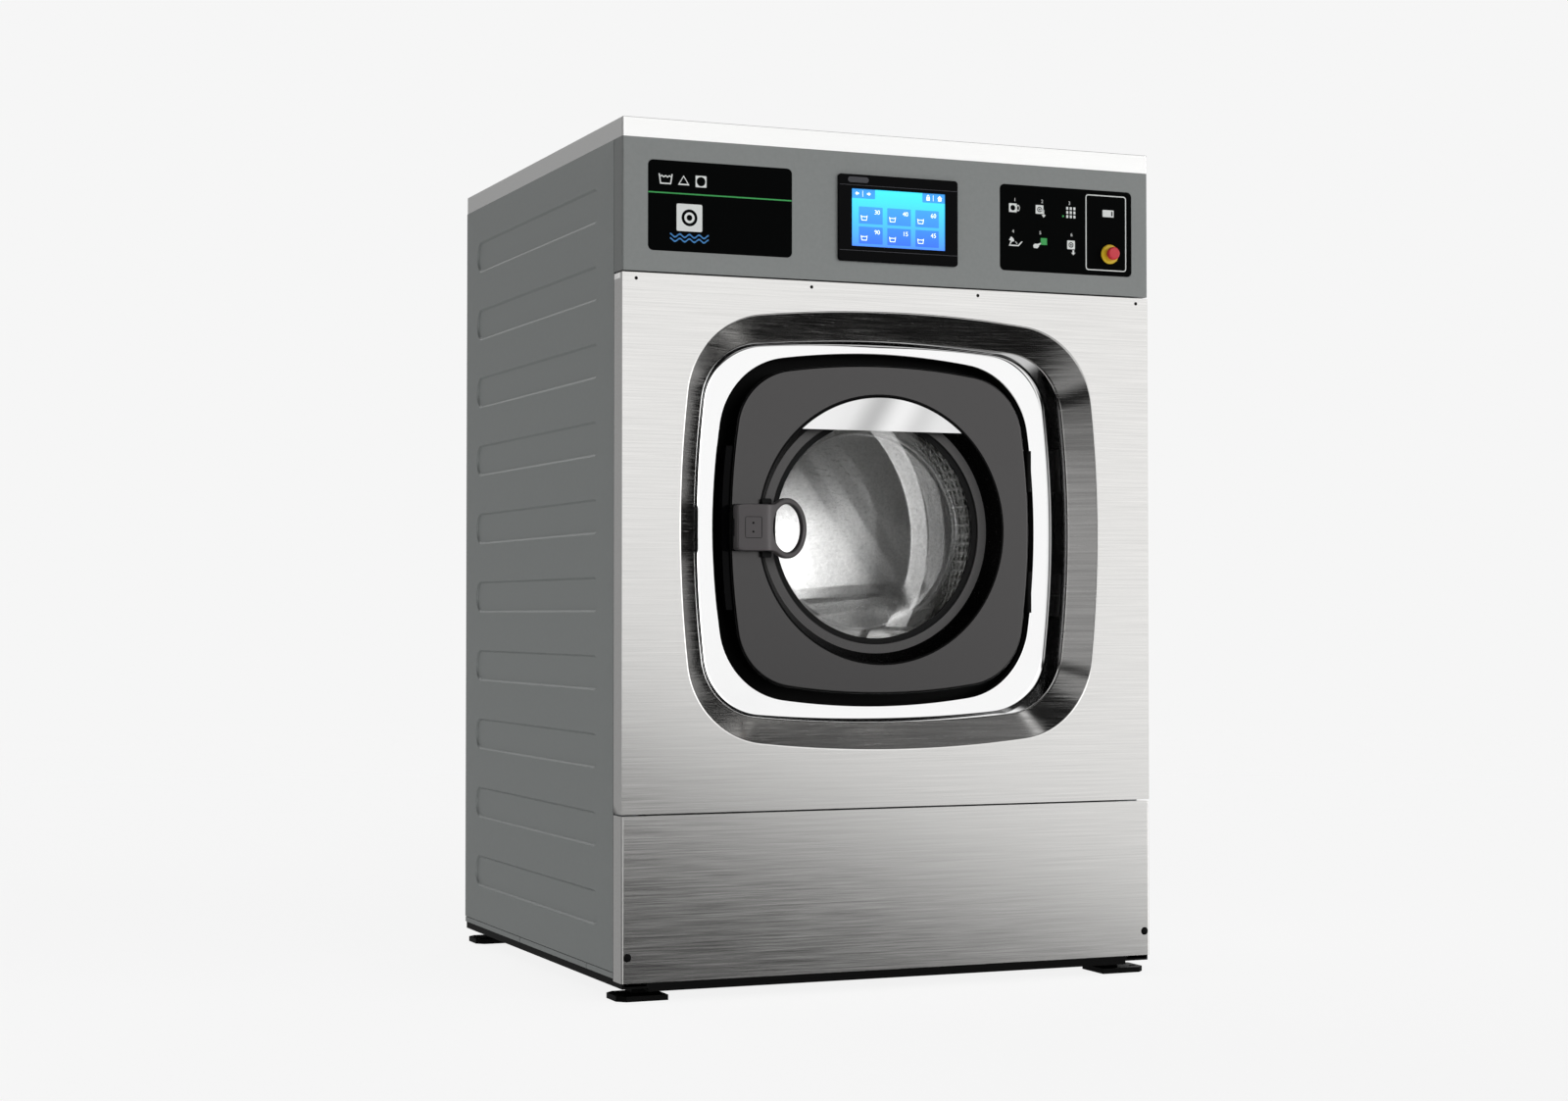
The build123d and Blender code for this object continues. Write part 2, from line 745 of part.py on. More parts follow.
# Door plate: pressed dark plate with a deep skirt and the round window hole
with BuildPart() as door_plate:
    with BuildSketch(facing(door_face_depth, z=door_z)):
        add(squircle(door_outline))
    extrude(amount=-door_skirt)
    fillet(door_plate.faces().sort_by(Axis.Y)[0].edges(), door_edge_round)
    with BuildSketch(facing(door_face_depth + door_sheet, z=door_z)):
        add(squircle(door_outline, -door_sheet))
    extrude(amount=-door_skirt, mode=Mode.SUBTRACT)
    with BuildSketch(facing(door_face_depth - cut_over, z=door_z)):
        Circle(window_radius)
    extrude(amount=-(2 * cut_over + door_sheet), mode=Mode.SUBTRACT)
save(door_plate.part, "door_plate")

# Door bezel: black cone that leads from the plate down to the clamp ring
bezel_front_radius = window_radius - seat_gap
with BuildPart() as door_bezel:
    with BuildSketch(turning(door_z)):
        with BuildLine():
            Polyline(
                (door_face_depth, bezel_front_radius - bezel_wall),
                (door_face_depth, bezel_front_radius),
                (door_face_depth + door_sheet, bezel_front_radius),
                (door_back_depth - bezel_wall, bezel_back_radius + bezel_wall),
                (door_back_depth - bezel_wall, window_radius + bezel_wall),
                (door_back_depth, window_radius + bezel_wall),
                (door_back_depth, bezel_back_radius),
                close=True,
            )
        make_face()
    revolve(axis=turning_axis(door_z))
save(door_bezel.part, "door_bezel")

# Clamp ring: grey ring that holds the glass
with BuildPart() as clamp_ring:
    with BuildSketch(facing(door_back_depth, z=door_z)):
        Circle(clamp_outer_radius)
        Circle(clamp_inner_radius, mode=Mode.SUBTRACT)
    extrude(amount=-clamp_thickness)
    chamfer(clamp_ring.faces().sort_by(Axis.Y)[0].inner_wires()[0].edges(), clamp_thickness / 3)
save(clamp_ring.part, "clamp_ring")

# Door glass: a bowl with a flat flange, a tapered wall and a domed end
wall_start = glass_depth + glass_flange_thickness
wall_end = glass_depth + glass_wall_depth
inner_end_radius = glass_end_radius - glass_wall
dome_radius = (glass_end_radius**2 + glass_dome**2) / (2 * glass_dome)
dome_centre_depth = wall_end + glass_dome - dome_radius
inner_dome_depth = dome_centre_depth + sqrt((dome_radius - glass_wall) ** 2 - inner_end_radius**2)


def on_dome(radius, share):
    """A point of a dome of that radius at a share of the window's radius from the axis."""
    out = share * inner_end_radius
    return (dome_centre_depth + sqrt(radius**2 - out**2), out)


with BuildPart() as door_glass:
    with BuildSketch(turning(door_z)):
        with BuildLine():
            outer_dome = [on_dome(dome_radius, share) for share in (1 / 2, 0)]
            inner_dome = [on_dome(dome_radius - glass_wall, share) for share in (0, 1 / 2)]
            ThreePointArc((wall_end, glass_end_radius), *outer_dome)
            Line(outer_dome[1], inner_dome[0])
            ThreePointArc(*inner_dome, (inner_dome_depth, inner_end_radius))
            Polyline(
                (inner_dome_depth, inner_end_radius),
                (glass_depth, glass_rim_radius - glass_wall),
                (glass_depth, glass_flange_radius),
                (wall_start, glass_flange_radius),
                (wall_start, glass_rim_radius),
                (wall_end, glass_end_radius),
            )
        make_face()
    revolve(axis=turning_axis(door_z))
    rims = door_glass.edges().filter_by(GeomType.CIRCLE)
    fillet(rims.sort_by(lambda edge: abs(edge.radius - glass_end_radius))[0], glass_round)
    rims = door_glass.edges().filter_by(GeomType.CIRCLE)
    fillet(rims.sort_by(lambda edge: abs(edge.radius - inner_end_radius))[0], glass_round - glass_wall)
save(door_glass.part, "door_glass")

# Glass gasket: black ring between the clamp ring and the glass flange
with BuildPart() as glass_gasket:
    with BuildSketch(facing(door_back_depth + clamp_thickness, z=door_z)):
        Circle(clamp_outer_radius)
        Circle(glass_rim_radius - glass_wall, mode=Mode.SUBTRACT)
    extrude(amount=-glass_seal_lip)
    with BuildSketch(facing(glass_depth, z=door_z)):
        Circle(clamp_outer_radius)
        Circle(glass_flange_radius + seat_gap, mode=Mode.SUBTRACT)
    extrude(amount=-glass_flange_thickness)
save(glass_gasket.part, "glass_gasket")

# Door frame: backing plate with a rim, the hinge arms with their barrels, and the catch
frame_rim = frame_depth - (door_face_depth + door_sheet)
with BuildPart() as door_frame:
    with BuildSketch(facing(frame_depth, z=door_z)):
        add(squircle(door_outline, -frame_inset))
        Circle(glass_rim_radius + seat_gap, mode=Mode.SUBTRACT)
    extrude(amount=-frame_thickness)
    with BuildSketch(facing(frame_depth, z=door_z)):
        add(squircle(door_outline, -frame_inset))
        add(squircle(door_outline, -(frame_inset + frame_rib)), mode=Mode.SUBTRACT)
    extrude(amount=frame_rim)
    for up in (-1, 1):
        low, high = sorted(up * place for place in door_barrel)
        with BuildSketch(Plane.XY.offset(door_z + low)):
            with Locations((hinge_side, front_y + hinge_depth)):
                Circle(barrel_radius)
            with Locations((hinge_side, front_y + (hinge_depth + frame_back_depth) / 2)):
                Rectangle(hinge_arm_width, frame_back_depth - hinge_depth)
            with Locations((hinge_side - frame_inset, front_y + frame_depth + frame_thickness / 2)):
                Rectangle(2 * frame_inset, frame_thickness)
            with Locations((hinge_side, front_y + hinge_depth)):
                Circle(hinge_pin_radius + running_gap, mode=Mode.SUBTRACT)
        extrude(amount=high - low)
    with BuildSketch(facing(frame_back_depth, -(handle_left - frame_inset - catch_size[0]), door_z)):
        RectangleRounded(*catch_size, corner_round)
    extrude(amount=-catch_length)
save(door_frame.part, "door_frame")

# Crescent plate: bright segment across the top of the window
with BuildPart() as crescent_plate:
    with BuildSketch(facing(door_face_depth + crescent_thickness, z=door_z)):
        Circle(window_radius - bezel_wall - crescent_gap)
        with Locations((0, crescent_height - window_radius)):
            Rectangle(2 * window_radius, 2 * window_radius, mode=Mode.SUBTRACT)
    extrude(amount=crescent_thickness)
save(crescent_plate.part, "crescent_plate")

# Edge grip: glossy curved strip along the free edge of the door
with BuildPart() as edge_grip:
    with BuildSketch(facing(door_face_depth + grip_setback, z=door_z)):
        add(squircle(door_outline, grip_width))
        add(squircle(door_outline), mode=Mode.SUBTRACT)
        with Locations((-handle_left, 0)):
            Rectangle(4 * grip_width, grip_length, mode=Mode.INTERSECT)
    extrude(amount=-grip_depth)
save(edge_grip.part, "edge_grip")

# Handle base: black carrier on the plate, with a lug, the upright pin fixed in it and the latch box
pin_x = -handle_left + handle_pin_margin
base_face_depth = door_face_depth - handle_base_thickness
pin_depth = base_face_depth - handle_pin_margin
handle_middle = -handle_left + handle_width / 2
latch_box_x = -handle_left + handle_width + latch_box_size[0] / 2 - corner_round
with BuildPart() as handle_base:
    with BuildSketch(facing(door_face_depth, handle_middle, door_z)):
        RectangleRounded(handle_width, handle_height, corner_round)
    extrude(amount=handle_base_thickness)
    with BuildSketch(Plane.XY.offset(door_z - handle_lug_height / 2)):
        with Locations((pin_x, front_y + pin_depth)):
            Circle(handle_pin_margin - seat_gap)
        with Locations((pin_x, front_y + pin_depth + handle_pin_margin / 2)):
            Rectangle(2 * (handle_pin_margin - seat_gap), handle_pin_margin)
    extrude(amount=handle_lug_height)
    with BuildSketch(facing(door_face_depth, latch_box_x, door_z)):
        RectangleRounded(*latch_box_size, corner_round)
    extrude(amount=handle_base_thickness)
    with BuildSketch(Plane.XY.offset(door_z - handle_height / 2)):
        with Locations((pin_x, front_y + pin_depth)):
            Circle(handle_pin_radius)
    extrude(amount=handle_height)
save(handle_base.part, "handle_base")

# Handle lever: moulded block that runs out into a tilted finger ring
tilt_x = cos(radians(finger_ring_tilt))
tilt_y = sin(radians(finger_ring_tilt))
ring_plane = Plane(
    origin=(-finger_ring_centre, front_y + finger_ring_depth, door_z),
    x_dir=(tilt_x, tilt_y, 0),
    z_dir=(tilt_y, -tilt_x, 0),
)
lever_back_depth = base_face_depth - seat_gap
lever_thickness = lever_back_depth - handle_face_depth
with BuildPart() as handle_lever:
    with BuildSketch(facing(lever_back_depth, handle_middle, door_z)):
        RectangleRounded(handle_width, handle_height, handle_round)
    extrude(amount=lever_thickness)
    fillet(handle_lever.faces().sort_by(Axis.Y)[0].edges(), handle_round / 2)
    with BuildSketch(Plane.XY.offset(door_z - handle_height / 2)):
        with Locations((pin_x - handle_pin_margin / 2, front_y + pin_depth + handle_pin_margin / 2)):
            Rectangle(handle_pin_margin, handle_pin_margin)
        with Locations((pin_x, front_y + pin_depth)):
            Circle(handle_pin_margin - seat_gap, mode=Mode.SUBTRACT)
    extrude(amount=handle_height, mode=Mode.SUBTRACT)
    with BuildSketch(ring_plane.offset(-finger_ring_thickness)):
        Circle(finger_ring_outer)
    extrude(amount=finger_ring_thickness)
    with BuildSketch(ring_plane.offset(cut_over)):
        Circle(finger_ring_inner)
    extrude(amount=-(finger_ring_thickness + 2 * cut_over), mode=Mode.SUBTRACT)
    with BuildSketch(facing(handle_face_depth, handle_middle - corner_round / 2, door_z)):
        RectangleRounded(*cover_size, corner_round)
    extrude(amount=-cover_recess, mode=Mode.SUBTRACT)
    with BuildSketch(facing(handle_face_depth, handle_middle - corner_round / 2, door_z)):
        with GridLocations(0, handle_screw_spacing, 1, 2):
            Circle(handle_screw_radius)
    extrude(amount=-2 * corner_round, mode=Mode.SUBTRACT)
    with BuildSketch(Plane.XY.offset(door_z - handle_lug_height / 2 - seat_gap)):
        with Locations((pin_x - handle_pin_margin, front_y + pin_depth)):
            Rectangle(4 * handle_pin_margin, 2 * handle_pin_margin + seat_gap)
    extrude(amount=handle_lug_height + 2 * seat_gap, mode=Mode.SUBTRACT)
    with BuildSketch(Plane.XY.offset(door_z - handle_height / 2 - cut_over)):
        with Locations((pin_x, front_y + pin_depth)):
            Circle(handle_pin_radius + running_gap)
    extrude(amount=handle_height + 2 * cut_over, mode=Mode.SUBTRACT)
save(handle_lever.part, "handle_lever")

# Hinge bracket: two arms on the tub front that reach through the gap, each with a fixed pin
arm_run = tub_front_depth - hinge_depth
with BuildPart() as hinge_bracket:
    for up in (-1, 1):
        low, high = sorted(up * place for place in tub_barrel)
        with BuildSketch(Plane.XY.offset(door_z + low)):
            with Locations((hinge_side, front_y + hinge_depth)):
                Circle(barrel_radius)
            with Locations((hinge_side, front_y + hinge_depth + arm_run / 2)):
                Rectangle(hinge_arm_width, arm_run)
            with Locations((hinge_side + hinge_foot / 2, front_y + tub_front_depth - door_sheet / 2)):
                Rectangle(hinge_foot, door_sheet)
        extrude(amount=high - low)
        low, high = sorted(up * place for place in (door_barrel[0], tub_barrel[1]))
        with BuildSketch(Plane.XY.offset(door_z + low)):
            with Locations((hinge_side, front_y + hinge_depth)):
                Circle(hinge_pin_radius)
        extrude(amount=high - low)
save(hinge_bracket.part, "hinge_bracket")

# Lock housing: box on the tub front with a pocket for the catch of the door
catch_x = -(handle_left - frame_inset - catch_size[0])
lock_length = tub_front_depth - frame_back_depth - seat_gap
with BuildPart() as lock_housing:
    with BuildSketch(facing(frame_back_depth + seat_gap, catch_x, door_z)):
        RectangleRounded(*[size + 2 * (lock_play + lock_wall) for size in catch_size], corner_round)
        RectangleRounded(*[size + 2 * lock_play for size in catch_size], corner_round, mode=Mode.SUBTRACT)
    extrude(amount=-lock_length)
save(lock_housing.part, "lock_housing")

# Tub shell: rolled cylinder with a flange at each end
with BuildPart() as tub_shell:
    with BuildSketch(turning(door_z)):
        with BuildLine():
            Polyline(
                (tub_front_depth + tub_plate, tub_radius - tub_wall),
                (tub_front_depth + tub_plate, tub_radius + tub_rim),
                (tub_front_depth + 2 * tub_plate, tub_radius + tub_rim),
                (tub_front_depth + 2 * tub_plate, tub_radius),
                (tub_back_depth - 2 * tub_plate, tub_radius),
                (tub_back_depth - 2 * tub_plate, tub_radius + tub_rim),
                (tub_back_depth - tub_plate, tub_radius + tub_rim),
                (tub_back_depth - tub_plate, tub_radius - tub_wall),
                close=True,
            )
        make_face()
    revolve(axis=turning_axis(door_z))
    with BuildSketch(Plane.XY.offset(drain_stub_z)):
        with Locations((drain_side, front_y + drain_depth)):
            Circle(drain_radius + drain_wall)
    extrude(amount=tub_radius / 2)
    with BuildSketch(Plane.XY.offset(fill_stub_z)):
        with Locations((dispenser_x, dispenser_y)):
            Circle(dispenser_outlet_radius + drain_wall)
    extrude(amount=-tub_radius / 2)
    with BuildSketch(facing(tub_front_depth, z=door_z)):
        Circle(tub_radius - tub_wall)
    extrude(amount=tub_front_depth - tub_back_depth, mode=Mode.SUBTRACT)
    with BuildSketch(Plane.XY.offset(drain_stub_z - cut_over)):
        with Locations((drain_side, front_y + drain_depth)):
            Circle(drain_radius)
    extrude(amount=tub_radius / 2, mode=Mode.SUBTRACT)
    with BuildSketch(Plane.XY.offset(fill_stub_z + cut_over)):
        with Locations((dispenser_x, dispenser_y)):
            Circle(dispenser_outlet_radius)
    extrude(amount=-tub_radius / 2, mode=Mode.SUBTRACT)
save(tub_shell.part, "tub_shell")

# Tub front: dark plate with the loading mouth turned forward as a collar
with BuildPart() as tub_front:
    with BuildSketch(turning(door_z)):
        with BuildLine():
            Polyline(
                (tub_front_depth, mouth_radius + gasket_lip),
                (tub_front_depth, tub_radius + tub_rim),
                (tub_front_depth + tub_plate, tub_radius + tub_rim),
                (tub_front_depth + tub_plate, mouth_radius + gasket_lip),
                close=True,
            )
        make_face()
    revolve(axis=turning_axis(door_z))
    fillet(tub_front.faces().sort_by(Axis.Y)[0].outer_wire().edges(), corner_round)
save(tub_front.part, "tub_front")

# Door gasket: rubber ring on the tub mouth that the door frame presses on
with BuildPart() as door_gasket:
    with BuildSketch(turning(door_z)):
        with BuildLine():
            Polyline(
                (frame_back_depth + seat_gap, mouth_radius),
                (frame_back_depth + seat_gap, gasket_radius),
                (tub_front_depth - gasket_lip, gasket_radius),
                (tub_front_depth, gasket_radius - gasket_lip),
                (tub_front_depth, mouth_radius + gasket_lip),
                (tub_front_depth + tub_plate, mouth_radius + gasket_lip),
                (tub_front_depth + tub_plate, mouth_radius),
                close=True,
            )
        make_face()
    revolve(axis=turning_axis(door_z))
save(door_gasket.part, "door_gasket")

# Tub back: disc with radial ribs and the bearing seat
back_rib_run = tub_radius - housing_radius - 2 * tub_plate
with BuildPart() as tub_back:
    with BuildSketch(facing(tub_back_depth, z=door_z)):
        Circle(tub_radius + tub_rim)
        Circle(shaft_radius + tub_plate, mode=Mode.SUBTRACT)
    extrude(amount=tub_plate)
    with BuildSketch(facing(tub_back_depth, z=door_z)):
        with PolarLocations(housing_radius + tub_plate + back_rib_run / 2, back_rib_count):
            Rectangle(back_rib_run, back_rib_width)
    extrude(amount=-back_rib_height)
save(tub_back.part, "tub_back")

# Drum shell: cylinder with a rolled front lip round the mouth
with BuildPart() as drum_shell:
    with BuildSketch(turning(door_z)):
        with BuildLine():
            Polyline(
                (drum_front_depth, drum_mouth_radius),
                (drum_front_depth, drum_radius - drum_lip),
                (drum_front_depth + drum_lip, drum_radius),
                (drum_back_depth, drum_radius),
                (drum_back_depth, drum_radius - drum_wall),
                (drum_front_depth + drum_lip, drum_radius - drum_wall),
                (drum_front_depth + drum_wall, drum_radius - drum_lip - drum_wall),
                (drum_front_depth + drum_wall, drum_mouth_radius + drum_wall),
                (drum_front_depth + drum_lip, drum_mouth_radius + drum_wall),
                (drum_front_depth + drum_lip, drum_mouth_radius),
                close=True,
            )
        make_face()
    revolve(axis=turning_axis(door_z))
save(drum_shell.part, "drum_shell")

# Drum back: disc dished towards the front
with BuildPart() as drum_back:
    with BuildSketch(turning(door_z)):
        with BuildLine():
            Polyline(
                (drum_back_depth, drum_radius),
                (drum_back_depth + drum_wall, drum_radius),
                (drum_back_depth + drum_wall, drum_radius * 3 / 4),
                (drum_back_depth + drum_wall - drum_back_dish, drum_radius * 3 / 5),
                (drum_back_depth + drum_wall - drum_back_dish, 0),
                (drum_back_depth - drum_back_dish, 0),
                (drum_back_depth - drum_back_dish, drum_radius * 3 / 5 + drum_wall),
                (drum_back_depth, drum_radius * 3 / 4 + drum_wall),
                close=True,
            )
        make_face()
    revolve(axis=turning_axis(door_z))
save(drum_back.part, "drum_back")

# Lifters: three rounded beams along the drum wall, narrower at the crown than at the foot
lifter_foot = sqrt((drum_radius - drum_wall) ** 2 - (lifter_width / 2) ** 2)
lifter_start = (drum_front_depth + drum_back_depth - lifter_length) / 2
with BuildPart() as lifters:
    for number in range(lifter_count):
        turn = radians(lifter_turn + number * 360 / lifter_count)
        lifter_plane = Plane(
            origin=(0, front_y + lifter_start, door_z),
            x_dir=(-sin(turn), 0, cos(turn)),
            z_dir=(0, 1, 0),
        )
        with BuildSketch(lifter_plane):
            with BuildLine():
                Polyline(
                    (-lifter_width / 2, lifter_foot),
                    (lifter_width / 2, lifter_foot),
                    (0, lifter_foot - lifter_height),
                    close=True,
                )
            profile = make_face()
            crown = profile.vertices().sort_by(Axis.Y)[0]
            fillet(crown, lifter_crown)
        extrude(amount=lifter_length)
        with BuildSketch(lifter_plane.offset(lifter_wall)):
            with BuildLine():
                Polyline(
                    (lifter_wall - lifter_width / 2, lifter_foot),
                    (lifter_width / 2 - lifter_wall, lifter_foot),
                    (0, lifter_foot - lifter_height + 2 * lifter_wall),
                    close=True,
                )
            hollow = make_face()
            crown = hollow.vertices().sort_by(Axis.Y)[0]
            fillet(crown, lifter_crown - lifter_wall)
        extrude(amount=lifter_length - 2 * lifter_wall, mode=Mode.SUBTRACT)
save(lifters.part, "lifters")

# Drum shaft: stepped shaft with its three-armed spider
spider_back_depth = drum_back_depth + drum_wall + spider_thickness
with BuildPart() as drum_shaft:
    with BuildSketch(turning(door_z)):
        with BuildLine():
            Polyline(
                (shaft_front_depth, 0),
                (shaft_front_depth, spider_hub_radius),
                (spider_back_depth, spider_hub_radius - corner_round),
                (spider_back_depth, shaft_radius),
                (housing_back_depth - bearing_width, shaft_radius),
                (housing_back_depth - bearing_width, shaft_end_radius),
                (pulley_depth + pulley_width, shaft_end_radius),
                (pulley_depth + pulley_width, 0),
                close=True,
            )
        make_face()
    revolve(axis=turning_axis(door_z))
    with BuildSketch(facing(drum_back_depth + drum_wall, z=door_z)):
        with PolarLocations(drum_radius / 2, lifter_count, start_angle=lifter_turn):
            Rectangle(drum_radius - 2 * drum_lip, spider_arm_width)
    extrude(amount=-spider_thickness)
save(drum_shaft.part, "drum_shaft")

# Bearing housing: cast cone on the tub back with radial ribs
bearing_outer = shaft_radius + bearing_wall
bearing_end_outer = shaft_end_radius + bearing_wall
housing_middle = housing_depth + bearing_width
with BuildPart() as bearing_housing:
    with BuildSketch(turning(door_z)):
        with BuildLine():
            Polyline(
                (housing_depth, bearing_outer),
                (housing_depth, housing_radius),
                (housing_depth + housing_flange, housing_radius),
                (housing_depth + housing_flange, housing_neck_radius + housing_flange),
                (housing_back_depth, housing_neck_radius),
                (housing_back_depth, bearing_end_outer),
                (housing_back_depth - bearing_width, bearing_end_outer),
                (housing_back_depth - bearing_width, shaft_radius + corner_round),
                (housing_middle, shaft_radius + corner_round),
                (housing_middle, bearing_outer),
                close=True,
            )
        make_face()
    revolve(axis=turning_axis(door_z))
    rib_run = housing_radius - housing_neck_radius
    for number in range(housing_rib_count):
        turn = radians(number * 360 / housing_rib_count)
        rib_plane = Plane(origin=(0, front_y, door_z), x_dir=(0, 1, 0), z_dir=(sin(turn), 0, -cos(turn)))
        with BuildSketch(rib_plane):
            with BuildLine():
                Polyline(
                    (housing_depth + housing_flange, housing_neck_radius),
                    (housing_depth + housing_flange, housing_neck_radius + rib_run),
                    (housing_back_depth - housing_flange, housing_neck_radius + sheet),
                    (housing_back_depth - housing_flange, housing_neck_radius - sheet),
                    close=True,
                )
            make_face()
        extrude(amount=housing_rib_width / 2, both=True)
save(bearing_housing.part, "bearing_housing")

# Bearings: front and rear ball-bearing rings in the housing, with the shaft seal ahead of them
with BuildPart() as bearings:
    with BuildSketch(facing(housing_depth, z=door_z)):
        Circle(bearing_outer)
        Circle(shaft_radius + running_gap, mode=Mode.SUBTRACT)
    extrude(amount=-bearing_width)
    with BuildSketch(facing(housing_back_depth - bearing_width, z=door_z)):
        Circle(bearing_end_outer)
        Circle(shaft_end_radius + running_gap, mode=Mode.SUBTRACT)
    extrude(amount=-bearing_width)
    with BuildSketch(facing(tub_back_depth - seat_gap, z=door_z)):
        Circle(shaft_radius + tub_plate)
        Circle(shaft_radius + running_gap, mode=Mode.SUBTRACT)
    extrude(amount=tub_plate - seat_gap)
save(bearings.part, "bearings")


def grooved_rim(rim_radius):
    """The rim profile of a pulley with three round-bottomed grooves, for turning about its axis."""
    groove_pitch = pulley_width / 4
    with BuildSketch(mode=Mode.PRIVATE) as rim:
        with Locations((pulley_middle_depth, rim_radius - pulley_rim / 2)):
            Rectangle(pulley_width, pulley_rim)
        with Locations(*[(pulley_depth + (number + 1) * groove_pitch, rim_radius) for number in range(3)]):
            RegularPolygon(groove_pitch / 2, 4, mode=Mode.SUBTRACT)
    return rim.sketch


# Drum pulley: grooved rim, thin web with round windows, and a hub
with BuildPart() as drum_pulley:
    with BuildSketch(turning(door_z)):
        add(grooved_rim(drum_pulley_radius))
        with Locations((pulley_middle_depth, (drum_pulley_radius - pulley_rim + shaft_end_radius) / 2)):
            Rectangle(pulley_web, drum_pulley_radius - pulley_rim - shaft_end_radius)
        with Locations((pulley_middle_depth, (pulley_hub_radius + shaft_end_radius) / 2)):
            Rectangle(pulley_width, pulley_hub_radius - shaft_end_radius)
    revolve(axis=turning_axis(door_z))
    with BuildSketch(facing(pulley_depth, z=door_z)):
        with PolarLocations((drum_pulley_radius + pulley_hub_radius - pulley_rim) / 2, pulley_window_count):
            Circle(pulley_window_radius)
    extrude(amount=-pulley_width, mode=Mode.SUBTRACT)
save(drum_pulley.part, "drum_pulley")

# Motor pulley with the motor shaft that it is keyed to
with BuildPart() as motor_pulley:
    with BuildSketch(turning(motor_z)):
        add(grooved_rim(motor_pulley_radius))
        with Locations((pulley_middle_depth, (motor_pulley_radius - pulley_rim) / 2)):
            Rectangle(pulley_width, motor_pulley_radius - pulley_rim)
    revolve(axis=turning_axis(motor_z))
    with BuildSketch(facing(pulley_depth + pulley_width, z=motor_z)):
        Circle(motor_shaft_radius)
    extrude(amount=pulley_width + spider_thickness + motor_length / 4)
motor_pulley_placed = Pos(motor_side, 0, 0) * motor_pulley.part
save(motor_pulley_placed, "motor_pulley")

# Drive belt: one loop round both pulleys
with BuildPart() as drive_belt:
    with BuildSketch(facing(pulley_depth + (pulley_width - belt_width) / 2)):
        for outer, mode in ((belt_thickness, Mode.ADD), (seat_gap, Mode.SUBTRACT)):
            with BuildSketch(mode=Mode.PRIVATE) as loop:
                with Locations((0, door_z)):
                    Circle(drum_pulley_radius + outer)
                with Locations((motor_side, motor_z)):
                    Circle(motor_pulley_radius + outer)
                make_hull()
            add(loop.sketch, mode=mode)
    extrude(amount=-belt_width)
save(drive_belt.part, "drive_belt")

# Motor body: finned cylinder below the tub with a bore for its shaft
motor_back_depth = pulley_depth - spider_thickness
motor_front_depth = motor_back_depth - motor_length
with BuildPart() as motor_body:
    with BuildSketch(facing(motor_front_depth, motor_side, motor_z)):
        Circle(motor_radius)
        with PolarLocations(motor_radius, motor_fin_count):
            Rectangle(2 * motor_fin_height, motor_fin_width)
    extrude(amount=-motor_length)
    with BuildSketch(facing(motor_front_depth - motor_fin_height, motor_side, motor_z)):
        Circle(motor_radius - motor_fin_height)
    extrude(amount=motor_fin_height - motor_length - 2 * motor_fin_height)
    with BuildSketch(facing(motor_back_depth + 2 * motor_fin_height, motor_side, motor_z)):
        Circle(motor_shaft_radius + running_gap)
    extrude(amount=motor_length / 2, mode=Mode.SUBTRACT)
save(motor_body.part, "motor_body")

# Cradle: two beams that carry the tub, their strut feet, and the plate that the motor hangs from
cradle_top_z = tub_floor_z + cradle_rise
cradle_foot_z = tub_floor_z - cradle_foot_drop
motor_plate_z = motor_z + motor_radius + motor_fin_height + seat_gap
with BuildPart() as cradle:
    for beam_depth in cradle_depths:
        with BuildSketch(facing(beam_depth)):
            with BuildLine():
                Polyline(
                    (-cradle_half_width, cradle_foot_z),
                    (-cradle_half_width, cradle_foot_z + cradle_foot_width),
                    (-cradle_half_width + cradle_foot_width, cradle_top_z),
                    (cradle_half_width - cradle_foot_width, cradle_top_z),
                    (cradle_half_width, cradle_foot_z + cradle_foot_width),
                    (cradle_half_width, cradle_foot_z),
                    (cradle_half_width - cradle_foot_width, cradle_foot_z),
                    (cradle_half_width - 2 * cradle_foot_width, tub_floor_z - cradle_web),
                    (2 * cradle_foot_width - cradle_half_width, tub_floor_z - cradle_web),
                    (cradle_foot_width - cradle_half_width, cradle_foot_z),
                    close=True,
                )
            make_face()
            with Locations((0, door_z)):
                Circle(tub_radius + seat_gap, mode=Mode.SUBTRACT)
        extrude(amount=-cradle_thickness)
    plate_run = cradle_depths[1] - cradle_depths[0] - cradle_thickness
    with BuildSketch(facing(cradle_depths[1], motor_side, motor_plate_z)):
        with Locations((0, tub_plate / 2)):
            Rectangle(2 * motor_radius, tub_plate)
    extrude(amount=plate_run)
save(cradle.part, "cradle")

# Struts: damper tubes on the rails, rods on the cradle feet and a coil spring round each
strut_rows = [front_y + beam_depth + cradle_thickness / 2 for beam_depth in cradle_depths]
strut_places = [(side * strut_side, row_y) for side in (-1, 1) for row_y in strut_rows]
strut_foot_run = rail_x + rail_width / 2 - strut_side + spring_seat_radius
tube_top_z = rail_top_z + spring_seat + damper_length
with BuildPart() as damper_tubes:
    for place_x, place_y in strut_places:
        side = 1 if place_x > 0 else -1
        foot_x = side * (strut_side - spring_seat_radius + strut_foot_run / 2)
        with BuildSketch(Plane.XY.offset(rail_top_z)):
            with Locations((foot_x, place_y)):
                RectangleRounded(strut_foot_run, 2 * spring_seat_radius, corner_round)
        extrude(amount=spring_seat)
        with BuildSketch(Plane.XY.offset(rail_top_z + spring_seat)):
            with Locations((place_x, place_y)):
                Circle(damper_radius)
        extrude(amount=damper_length)
        with BuildSketch(Plane.XY.offset(tube_top_z)):
            with Locations((place_x, place_y)):
                Circle(damper_rod_radius + running_gap)
        extrude(amount=-(rod_overlap + 2 * tub_travel_down), mode=Mode.SUBTRACT)
